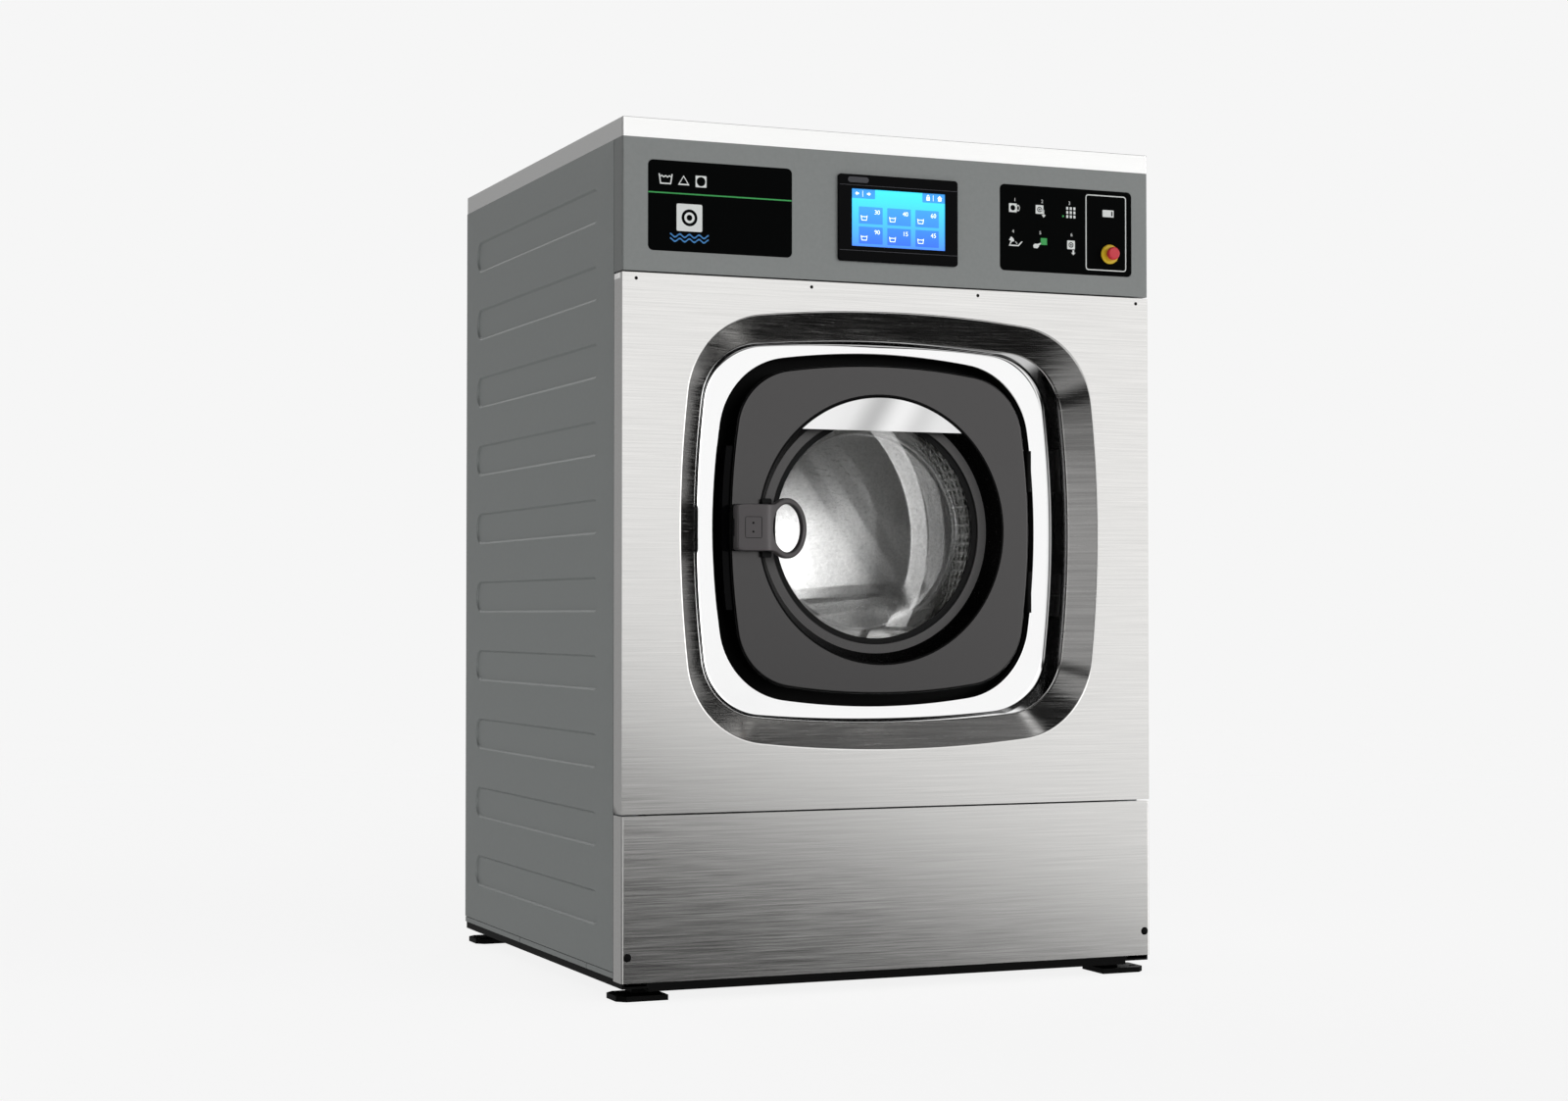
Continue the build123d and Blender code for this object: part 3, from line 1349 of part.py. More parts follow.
save(damper_tubes.part, "damper_tubes")

with BuildPart() as damper_rods:
    for place in strut_places:
        with BuildSketch(Plane.XY.offset(cradle_foot_z)):
            with Locations(place):
                Circle(spring_seat_radius)
        extrude(amount=-spring_seat)
        with BuildSketch(Plane.XY.offset(cradle_foot_z - spring_seat)):
            with Locations(place):
                Circle(damper_rod_radius)
        extrude(amount=-(cradle_foot_z - spring_seat - tube_top_z + rod_overlap))
save(damper_rods.part, "damper_rods")

spring_height = cradle_foot_z - rail_top_z - 2 * spring_seat
with BuildPart() as suspension_springs:
    for place in strut_places:
        with BuildSketch(Plane.XY.offset(rail_top_z + spring_seat)):
            with Locations(place):
                Circle(spring_outer_radius)
                Circle(spring_inner_radius, mode=Mode.SUBTRACT)
        extrude(amount=spring_height)
save(suspension_springs.part, "suspension_springs")

# Counterweight: cast segment saddled on the tub
wedge_x = 2 * tub_radius * sin(radians(weight_half_angle))
wedge_y = 2 * tub_radius * cos(radians(weight_half_angle))
with BuildPart() as counterweight:
    with BuildSketch(facing(weight_start, z=door_z)):
        Circle(tub_radius + weight_thickness)
        Circle(tub_radius + seat_gap, mode=Mode.SUBTRACT)
        with BuildLine():
            Polyline((0, 0), (-wedge_x, wedge_y), (wedge_x, wedge_y), close=True)
        make_face(mode=Mode.INTERSECT)
    extrude(amount=-weight_length)
    fillet(counterweight.edges().filter_by(Axis.Y).group_by(Axis.Z)[-1], corner_round)
save(counterweight.part, "counterweight")

# Dispenser box: flanged tray in the worktop, three compartments over a funnel
flange_size = [size + 2 * dispenser_flange for size in dispenser_size]
box_bottom_z = top_z - dispenser_depth
lid_axis_y = dispenser_y + flange_size[1] / 2 - lid_hinge_radius
lid_axis_z = top_z + sheet + 2 * lid_hinge_radius
compartment_width = (dispenser_size[0] - 4 * dispenser_wall) / 3
compartment_length = dispenser_size[1] - 2 * dispenser_wall
funnel_drop = dispenser_outlet_radius * 2
with BuildPart() as dispenser_box:
    with BuildSketch(Plane.XY.offset(top_z + sheet)):
        with Locations((dispenser_x, dispenser_y)):
            RectangleRounded(*flange_size, label_round)
    extrude(amount=-sheet)
    with BuildSketch(Plane.XY.offset(top_z)):
        with Locations((dispenser_x, dispenser_y)):
            Rectangle(*dispenser_size)
    extrude(amount=-dispenser_depth)
    with BuildSketch(Plane.XY.offset(top_z + sheet)):
        with Locations((dispenser_x, dispenser_y)):
            with GridLocations(compartment_width + dispenser_wall, 0, 3, 1):
                RectangleRounded(compartment_width, compartment_length, dispenser_wall)
    extrude(amount=-(dispenser_depth - funnel_drop / 2), mode=Mode.SUBTRACT)
    with BuildSketch(Plane.XY.offset(box_bottom_z)):
        with Locations((dispenser_x, dispenser_y)):
            Circle(dispenser_outlet_radius + drain_wall)
    extrude(amount=-funnel_drop)
    with BuildSketch(Plane.XY.offset(box_bottom_z - funnel_drop)):
        with Locations((dispenser_x, dispenser_y)):
            Circle(dispenser_outlet_radius)
    extrude(amount=funnel_drop + dispenser_outlet_radius, mode=Mode.SUBTRACT)
    with BuildSketch(Plane.XY.offset(box_bottom_z + dispenser_outlet_radius / 2)):
        with Locations((dispenser_x, dispenser_y)):
            Rectangle(dispenser_size[0] - 4 * dispenser_wall, 2 * dispenser_outlet_radius)
    extrude(amount=dispenser_outlet_radius, mode=Mode.SUBTRACT)
    for ear in (-1, 1):
        ear_x = dispenser_x + ear * dispenser_size[0] / 3
        with BuildSketch(Plane(origin=(ear_x, lid_axis_y, lid_axis_z), x_dir=(0, 1, 0), z_dir=(1, 0, 0))):
            Circle(2 * lid_hinge_radius - seat_gap)
            with Locations((0, -lid_hinge_radius)):
                Rectangle(2 * (2 * lid_hinge_radius - seat_gap), 2 * lid_hinge_radius)
        extrude(amount=lid_hinge_radius, both=True)
    with BuildSketch(Plane(origin=(dispenser_x, lid_axis_y, lid_axis_z), x_dir=(0, 1, 0), z_dir=(1, 0, 0))):
        Circle(lid_hinge_radius)
    extrude(amount=dispenser_size[0] / 3, both=True)
save(dispenser_box.part, "dispenser_box")

# Dispenser lid: folded tray that turns on the pin, with a finger lip at the front
lid_front_y = dispenser_y - flange_size[1] / 2 - lid_margin
lid_back_y = lid_axis_y - 2 * lid_hinge_radius - seat_gap
lid_low_z = top_z + sheet + seat_gap
knuckle_half = dispenser_size[0] / 4
with BuildPart() as dispenser_lid:
    with BuildSketch(Plane.XY.offset(lid_low_z)):
        with Locations((dispenser_x, (lid_front_y + lid_back_y) / 2)):
            Rectangle(flange_size[0] + lid_margin, lid_back_y - lid_front_y)
    extrude(amount=lid_thickness)
    fillet(dispenser_lid.edges().filter_by(Axis.Z), label_round)
    fillet(dispenser_lid.faces().sort_by(Axis.Z)[-1].edges(), corner_round)
    offset(amount=-sheet, openings=dispenser_lid.faces().sort_by(Axis.Z)[0], kind=Kind.INTERSECTION)
    with BuildSketch(Plane(origin=(dispenser_x, lid_axis_y, lid_axis_z), x_dir=(0, 1, 0), z_dir=(1, 0, 0))):
        Circle(2 * lid_hinge_radius - seat_gap)
        with Locations((-2 * lid_hinge_radius, 0)):
            Rectangle(4 * lid_hinge_radius, 2 * lid_hinge_radius)
        Circle(lid_hinge_radius + running_gap, mode=Mode.SUBTRACT)
    extrude(amount=knuckle_half, both=True)
    with BuildSketch(Plane.XY.offset(lid_low_z + lid_thickness)):
        with Locations((dispenser_x, lid_front_y - lid_grip / 2 + sheet)):
            RectangleRounded(dispenser_size[0] / 2, lid_grip, lid_hinge_radius)
    extrude(amount=-sheet)
save(dispenser_lid.part, "dispenser_lid")


def bellows(low_z, high_z, bore, fold_count):
    """A ribbed rubber sleeve from low_z to high_z: a zigzag profile turned about the upright axis."""
    fold = (high_z - low_z) / (2 * fold_count)
    outside = [
        (bore + drain_wall + (bellows_rib_depth if number % 2 else 0), low_z + number * fold)
        for number in range(2 * fold_count + 1)
    ]
    with BuildPart(mode=Mode.PRIVATE) as sleeve:
        with BuildSketch(Plane.XZ):
            with BuildLine():
                Polyline((bore, low_z), *outside, (bore, high_z), close=True)
            make_face()
        revolve(axis=Axis.Z)
    return sleeve.part


# Drain bellows between the tub outlet and the valve, and fill bellows between the dispenser and the tub
valve_top_z = rail_top_z + valve_size[2]
drain_bellows_part = Pos(drain_side, front_y + drain_depth, 0) * bellows(
    valve_top_z, drain_stub_z, drain_radius, bellows_ribs
)
save(drain_bellows_part, "drain_bellows")

fill_bellows_part = Pos(dispenser_x, dispenser_y, 0) * bellows(
    fill_stub_z, box_bottom_z - funnel_drop, dispenser_outlet_radius, bellows_ribs
)
save(fill_bellows_part, "fill_bellows")

# Drain valve: motorised valve on the middle cross rail
with BuildPart() as drain_valve:
    with BuildSketch(Plane.XY.offset(rail_top_z)):
        with Locations((drain_side, front_y + drain_depth)):
            RectangleRounded(valve_size[0], valve_size[1], label_round)
    extrude(amount=valve_size[2])
    with BuildSketch(Plane.XY.offset(rail_top_z + valve_size[2])):
        with Locations((drain_side, front_y + drain_depth)):
            Circle(drain_radius)
    extrude(amount=-valve_size[2] / 2, mode=Mode.SUBTRACT)
    with BuildSketch(facing(drain_depth + valve_size[1] / 2, drain_side, drain_z)):
        Circle(drain_radius)
    extrude(amount=valve_size[1] / 2, mode=Mode.SUBTRACT)
    with BuildSketch(Plane.XY.offset(rail_top_z + spring_seat)):
        with Locations((drain_side - valve_size[0] * 3 / 4, front_y + drain_depth)):
            RectangleRounded(valve_size[0] / 2, valve_size[1] / 2, label_round)
    extrude(amount=valve_size[2] * 3 / 4)
save(drain_valve.part, "drain_valve")

# Drain pipe: from the valve through the rear panel to an open spigot
drain_pipe_start = drain_depth + valve_size[1] / 2
with BuildPart() as drain_pipe:
    with BuildSketch(facing(drain_pipe_start, drain_side, drain_z)):
        Circle(drain_radius + drain_wall)
    extrude(amount=-(depth - drain_pipe_start))
    with BuildSketch(facing(depth, drain_side, drain_z)):
        Circle(drain_radius)
    extrude(amount=-drain_spigot_length)
    with BuildSketch(facing(drain_pipe_start, drain_side, drain_z)):
        Circle(drain_radius - drain_wall)
    extrude(amount=-(depth + drain_spigot_length - drain_pipe_start), mode=Mode.SUBTRACT)
save(drain_pipe.part, "drain_pipe")

# Inlet valves: threaded spigots through the rear panel, solenoid bodies and the pipe to the dispenser
valve_front_depth = depth - sheet - valve_body[1]
pipe_start_y = front_y + valve_front_depth
pipe_turn_y = front_y + fill_pipe_depth
pipe_end_y = dispenser_y + dispenser_size[1] / 2
with BuildPart() as inlet_valves:
    for place in inlet_places:
        with BuildSketch(facing(depth - sheet, place[0], place[1])):
            RectangleRounded(valve_body[0], valve_body[2], corner_round)
        extrude(amount=valve_body[1])
        with BuildSketch(facing(depth, place[0], place[1])):
            Circle(inlet_radius + drain_wall)
        extrude(amount=sheet)
        with BuildSketch(facing(depth + inlet_length, place[0], place[1])):
            Circle(inlet_radius)
        extrude(amount=inlet_length)
        with BuildSketch(facing(depth + inlet_length, place[0], place[1])):
            Circle(inlet_radius - drain_wall)
        extrude(amount=inlet_length, mode=Mode.SUBTRACT)
        with BuildSketch(facing(depth - sheet - valve_body[1] / 3, place[0], place[1] - valve_body[2] / 2)):
            with Locations((0, -valve_body[2] / 4)):
                Rectangle(valve_body[0] * 2 / 3, valve_body[2] / 2)
        extrude(amount=valve_body[1] / 2)
    with BuildLine():
        FilletPolyline(
            (inlet_places[1][0], pipe_start_y, inlet_z),
            (inlet_places[1][0], pipe_turn_y, inlet_z),
            (dispenser_x, pipe_turn_y, inlet_z),
            (dispenser_x, pipe_end_y, inlet_z),
            radius=fill_pipe_bend,
        )
    with BuildSketch(facing(valve_front_depth, inlet_places[1][0], inlet_z)):
        Circle(fill_pipe_radius)
    sweep()
    with BuildSketch(facing(valve_front_depth, inlet_places[0][0], inlet_z)):
        Circle(fill_pipe_radius)
    extrude(amount=valve_front_depth - fill_pipe_depth)
save(inlet_valves.part, "inlet_valves")

# Cable gland: threaded body through the rear panel with its dome nut
with BuildPart() as cable_gland:
    with BuildSketch(facing(depth - sheet - gland_length / 2, gland_side, gland_z)):
        Circle(gland_nut_radius - sheet)
    extrude(amount=-(sheet + gland_length / 2))
    with BuildSketch(facing(depth, gland_side, gland_z)):
        RegularPolygon(gland_nut_radius + sheet, 6)
    extrude(amount=-gland_length / 2)
    with BuildSketch(facing(depth + gland_length / 2, gland_side, gland_z)):
        Circle(gland_nut_radius - sheet / 2)
    extrude(amount=-gland_length / 2)
    fillet(cable_gland.faces().sort_by(Axis.Y)[-1].edges(), sheet)
    with BuildSketch(facing(depth - sheet - gland_length / 2, gland_side, gland_z)):
        Circle(gland_nut_radius)
    extrude(amount=gland_length / 4)
    with BuildSketch(facing(depth - gland_length, gland_side, gland_z)):
        Circle(gland_radius)
    extrude(amount=-(2 * gland_length + cut_over), mode=Mode.SUBTRACT)
save(cable_gland.part, "cable_gland")
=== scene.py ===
"""Dresses a packed washer-extractor: finishes for every solid, finer pieces, stage and camera."""

from math import cos, pi, radians, sin

import bmesh
import bpy
import numpy as np
from bpy.props import FloatProperty, FloatVectorProperty, IntProperty, PointerProperty
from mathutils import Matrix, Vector


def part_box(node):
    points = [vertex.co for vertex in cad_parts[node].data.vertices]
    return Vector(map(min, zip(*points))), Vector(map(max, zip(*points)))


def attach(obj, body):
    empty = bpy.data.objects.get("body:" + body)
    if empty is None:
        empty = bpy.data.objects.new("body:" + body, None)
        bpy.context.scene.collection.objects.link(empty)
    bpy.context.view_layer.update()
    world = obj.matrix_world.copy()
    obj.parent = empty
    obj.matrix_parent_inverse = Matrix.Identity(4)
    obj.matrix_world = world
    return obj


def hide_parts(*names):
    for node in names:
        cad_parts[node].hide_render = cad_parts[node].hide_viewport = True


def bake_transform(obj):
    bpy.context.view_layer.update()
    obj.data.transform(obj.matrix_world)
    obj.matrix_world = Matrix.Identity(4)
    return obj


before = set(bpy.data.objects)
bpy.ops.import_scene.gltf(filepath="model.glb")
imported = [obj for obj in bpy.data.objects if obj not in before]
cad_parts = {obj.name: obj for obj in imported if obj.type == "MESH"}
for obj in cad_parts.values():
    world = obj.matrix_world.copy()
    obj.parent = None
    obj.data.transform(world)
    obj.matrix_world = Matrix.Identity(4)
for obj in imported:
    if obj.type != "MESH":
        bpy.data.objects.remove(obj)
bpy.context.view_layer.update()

bl_info = {
    "name": "Washer-extractor dressing",
    "version": (1, 0, 0),
    "blender": (4, 5, 0),
    "location": "3D View > Sidebar > Washer",
    "description": "Finishes and fine pieces of a front-loading washer-extractor",
    "category": "Object",
}

MM = 0.001
FRONT = -0.410
DOOR_Z = 0.6865
RECESS_Z = 0.6835
TO_FRONT = Vector((0, -1, 0))


def linear(code):
    """The linear colour of an sRGB hex code, with an alpha of one."""
    shares = [int(code[place:place + 2], 16) / 255 for place in (1, 3, 5)]
    return tuple(c / 12.92 if c <= 0.04045 else ((c + 0.055) / 1.055) ** 2.4 for c in shares) + (1.0,)


def colour(code, name, description):
    """A colour setting that starts from an sRGB hex code."""
    return FloatVectorProperty(
        name=name, description=description, subtype="COLOR", size=4, min=0, max=1, default=linear(code)
    )


def length(millimetres, name, description):
    """A length setting given in millimetres and held in metres."""
    return FloatProperty(
        name=name, description=description, default=millimetres * MM, min=0, unit="LENGTH", precision=4
    )


class WasherColours(bpy.types.PropertyGroup):
    steel: colour("#E8E7E5", "Brushed steel", "Tone of the brushed stainless front panels and worktop")
    ring: colour("#FAFAFA", "Polished steel", "Tone of the polished ring round the door")
    body_grey: colour("#868988", "Body grey", "Powder coat of the control fascia")
    side_grey: colour("#949897", "Side grey", "Powder coat of the side panels")
    door_grey: colour("#525151", "Door grey", "Metallic paint of the door plate")
    handle_grey: colour("#524F50", "Handle grey", "Moulded handle")
    stop_red: colour("#D8313F", "Stop red", "Head of the stop button")
    stop_yellow: colour("#E8C52A", "Stop yellow", "Collar of the stop button")
    stripe_green: colour("#2FA84F", "Stripe green", "Stripe on the label plate and mark on the guide")
    screen_top: colour("#35D3F0", "Screen top", "Screen colour along its upper edge")
    screen_low: colour("#3F7FE8", "Screen bottom", "Screen colour along its lower edge")
    print_white: colour("#E9ECEA", "Print white", "Printed marks on the black plates")


class WasherSizes(bpy.types.PropertyGroup):
    mouth_edge: length(1.8, "Mouth edge", "How far the rounding of the recess mouth reaches from its corner")
    ring_cove: length(7.0, "Ring cove", "How far the cove of the polished ring reaches from its corner")
    rib_slope: length(4.5, "Rib slope", "Width of the sloped side of a pressed rib")
    rib_press: length(3.0, "Rib press", "Depth of a pressed rib")
    hole_pitch: length(15.5, "Hole pitch", "Distance between the holes of the drum wall")
    hole_size: length(5.5, "Hole size", "Diameter of a hole of the drum wall")
    field_chord: length(108.0, "Field chord", "Distance of a sunk field's straight side from the drum's axis")
    field_reach: length(288.0, "Field reach", "Radius of a sunk field's outer side")
    field_round: length(26.0, "Field round", "Rounding of a sunk field's corners")
    field_slope: length(28.0, "Field slope", "Width of the slope round a sunk field")
    print_height: length(0.15, "Print height", "How far a printed mark stands off its plate")
    spring_wire: length(4.4, "Spring wire", "Wire radius of a suspension spring")
    spring_turns: IntProperty(
        name="Spring turns", description="Turns of a suspension spring", default=7, min=3, max=14
    )
    bellows_wall: length(3.0, "Bellows wall", "Wall of a rubber bellows")
    bellows_rib: length(6.0, "Bellows rib", "How far a rib of a bellows stands out")
    bellows_ribs: IntProperty(name="Bellows ribs", description="Ribs of a bellows", default=3, min=1, max=8)


class WasherStage(bpy.types.PropertyGroup):
    floor_tone: colour("#F6F6F6", "Floor tone", "Colour of the floor and of what lies behind the machine")
    front_light: FloatProperty(name="Front light", description="Brightness of the front softbox", default=1.0)
    drum_light: FloatProperty(name="Drum light", description="Power of the light in the drum in watts", default=0.11)
    lens: FloatProperty(name="Lens", description="Focal length of the camera in millimetres", default=60.66)


def settings():
    """The three groups of settings of the scene."""
    scene = bpy.context.scene
    return scene.washer_colours, scene.washer_sizes, scene.washer_stage


def feed(tree, node, inputs):
    """Gives each named or numbered input of a node a value or a link."""
    for name, value in inputs.items():
        if isinstance(value, bpy.types.NodeSocket):
            tree.links.new(value, node.inputs[name])
        else:
            node.inputs[name].default_value = value


def put(tree, kind, inputs=None, **options):
    """Adds a node of that kind, sets its options and feeds its inputs."""
    made = tree.nodes.new(kind)
    for name, value in options.items():
        setattr(made, name, value)
    feed(tree, made, inputs or {})
    return made


def worked_out(tree, operation, *values):
    """The outcome of one operation on numbers or links."""
    return put(tree, "ShaderNodeMath", dict(enumerate(values)), operation=operation).outputs[0]


def mapped(tree, value, low, high, to_low=0.0, to_high=1.0, **options):
    """A value carried from the span between low and high to another span."""
    spans = {"Value": value, "From Min": low, "From Max": high, "To Min": to_low, "To Max": to_high}
    return put(tree, "ShaderNodeMapRange", spans, **options).outputs[0]


def place_on_object(tree):
    """The place on the object, in metres."""
    return put(tree, "ShaderNodeTexCoord").outputs["Object"]


def ramp(tree, amount, stops):
    """A colour ramp over stops of (place, colour)."""
    made = put(tree, "ShaderNodeValToRGB", {"Fac": amount})
    elements = made.color_ramp.elements
    while len(elements) < len(stops):
        elements.new(0.5)
    for element, (place, tone) in zip(elements, stops):
        element.position, element.color = place, tone
    return made.outputs["Color"]


def shade(tone, share):
    """A linear colour made darker or lighter by a share."""
    return tuple(min(1.0, c * share) for c in tone[:3]) + (1.0,)


def start(name):
    """A new node material with a Principled shader; returns the material, its tree and the shader."""
    material = bpy.data.materials.new(name)
    material.use_nodes = True
    tree = material.node_tree
    return material, tree, tree.nodes["Principled BSDF"]


def grained(name, tone, low, high, rough, grain, spread, depth, metal=1.0, stretch=(1, 1, 1), fleck=3.0, gloss=0.5):
    """A finish whose tone, roughness and relief all follow one noise.

    Grain is the size of the noise in millimetres, spread how far its roughness swings, depth the height of its
    relief in millimetres, stretch the share of that frequency along x, y and z, and low and high the shares of the
    tone between which it varies. The tone also drifts slowly over fleck times the grain, and gloss is how much a
    surface that isn't metal reflects.
    """
    material, tree, shader = start(name)
    scale = [share / (grain * MM) for share in stretch]
    drawn = put(tree, "ShaderNodeMapping", {"Vector": place_on_object(tree), "Scale": scale}).outputs[0]
    noise = put(
        tree, "ShaderNodeTexNoise", {"Vector": drawn, "Scale": 1.0, "Detail": 3.0, "Roughness": 0.6}
    ).outputs["Fac"]
    drift = put(tree, "ShaderNodeTexNoise", {"Vector": drawn, "Scale": 1 / fleck, "Detail": 1.0}).outputs["Fac"]
    half = worked_out(tree, "MULTIPLY", worked_out(tree, "ADD", noise, drift), 0.5)
    relief = put(tree, "ShaderNodeBump", {"Height": noise, "Strength": 1.0, "Distance": depth * MM})
    feed(tree, shader, {
        "Base Color": ramp(tree, half, [(0.35, shade(tone, low)), (0.65, shade(tone, high))]),
        "Roughness": mapped(tree, noise, 0.3, 0.7, rough - spread, rough + spread),
        "Normal": relief.outputs[0],
        "Metallic": metal,
        "Specular IOR Level": gloss,
    })
    return material


# Painted reflections on the polished strip, bands from left to right: place, and share of the tone
BANDS = ((0.0, 0.90), (0.30, 0.94), (0.43, 0.36), (0.53, 0.92), (0.62, 0.97), (0.72, 0.60), (0.84, 0.90), (1.0, 0.78))


def banded(name, tone, half_width, lean, height, rough):
    """A polished strip painted with broad bands across x that lean with height: painted reflections, soft stops of
    light and shade.
    """
    material, tree, shader = start(name)
    lean_way = {0: place_on_object(tree), 1: (1, 0, -lean)}
    across = put(tree, "ShaderNodeVectorMath", lean_way, operation="DOT_PRODUCT").outputs["Value"]
    middle = -lean * height
    share = mapped(tree, across, middle - half_width, middle + half_width)
    bands = ramp(tree, share, [(stop, shade(tone, light)) for stop, light in BANDS])
    bands.node.color_ramp.interpolation = "B_SPLINE"
    feed(tree, shader, {"Base Color": bands, "Metallic": 1.0, "Roughness": rough})
    return material


def edged(material, tone):
    """Paints a flat front's rounded edge dark wherever the surface turns away from the front: a painted dark reflection
    on the edge.
    """
    tree = material.node_tree
    shader = tree.nodes["Principled BSDF"]
    face = shader.inputs["Base Color"].links[0].from_socket
    normal = put(tree, "ShaderNodeTexCoord").outputs["Normal"]
    depth = put(tree, "ShaderNodeSeparateXYZ", {0: normal}).outputs["Y"]
    turned_away = mapped(tree, depth, -0.985, -0.95)
    both = put(tree, "ShaderNodeMix", {0: turned_away, 6: face, 7: tone}, data_type="RGBA")
    tree.links.new(both.outputs[2], shader.inputs["Base Color"])


def glass(name, tone, thickness_tone, clearness):
    """Clear glass that bends a share of the light and lets the rest, and all lamp light, pass straight through."""
    material, tree, shader = start(name)
    feed(tree, shader, {"Base Color": tone, "Roughness": 0.01, "Transmission Weight": 1.0, "IOR": 1.5})
    clear = put(tree, "ShaderNodeBsdfTransparent", {"Color": thickness_tone})
    share = worked_out(tree, "MAXIMUM", put(tree, "ShaderNodeLightPath").outputs["Is Shadow Ray"], clearness)
    either = put(tree, "ShaderNodeMixShader", {0: share, 1: shader.outputs[0], 2: clear.outputs[0]})
    tree.links.new(either.outputs[0], tree.nodes["Material Output"].inputs["Surface"])
    return material


def lit_screen(name, top, low, top_z, low_z, glow_share):
    """A backlit display: its glow runs from one colour to another down the screen, under a gloss front."""
    material, tree, shader = start(name)
    height = put(tree, "ShaderNodeSeparateXYZ", {0: place_on_object(tree)}).outputs["Z"]
    glow = ramp(tree, mapped(tree, height, low_z, top_z), [(0.0, low), (1.0, top)])
    feed(tree, shader, {"Emission Color": glow, "Base Color": glow, "Emission Strength": glow_share, "Roughness": 0.12})
    return material


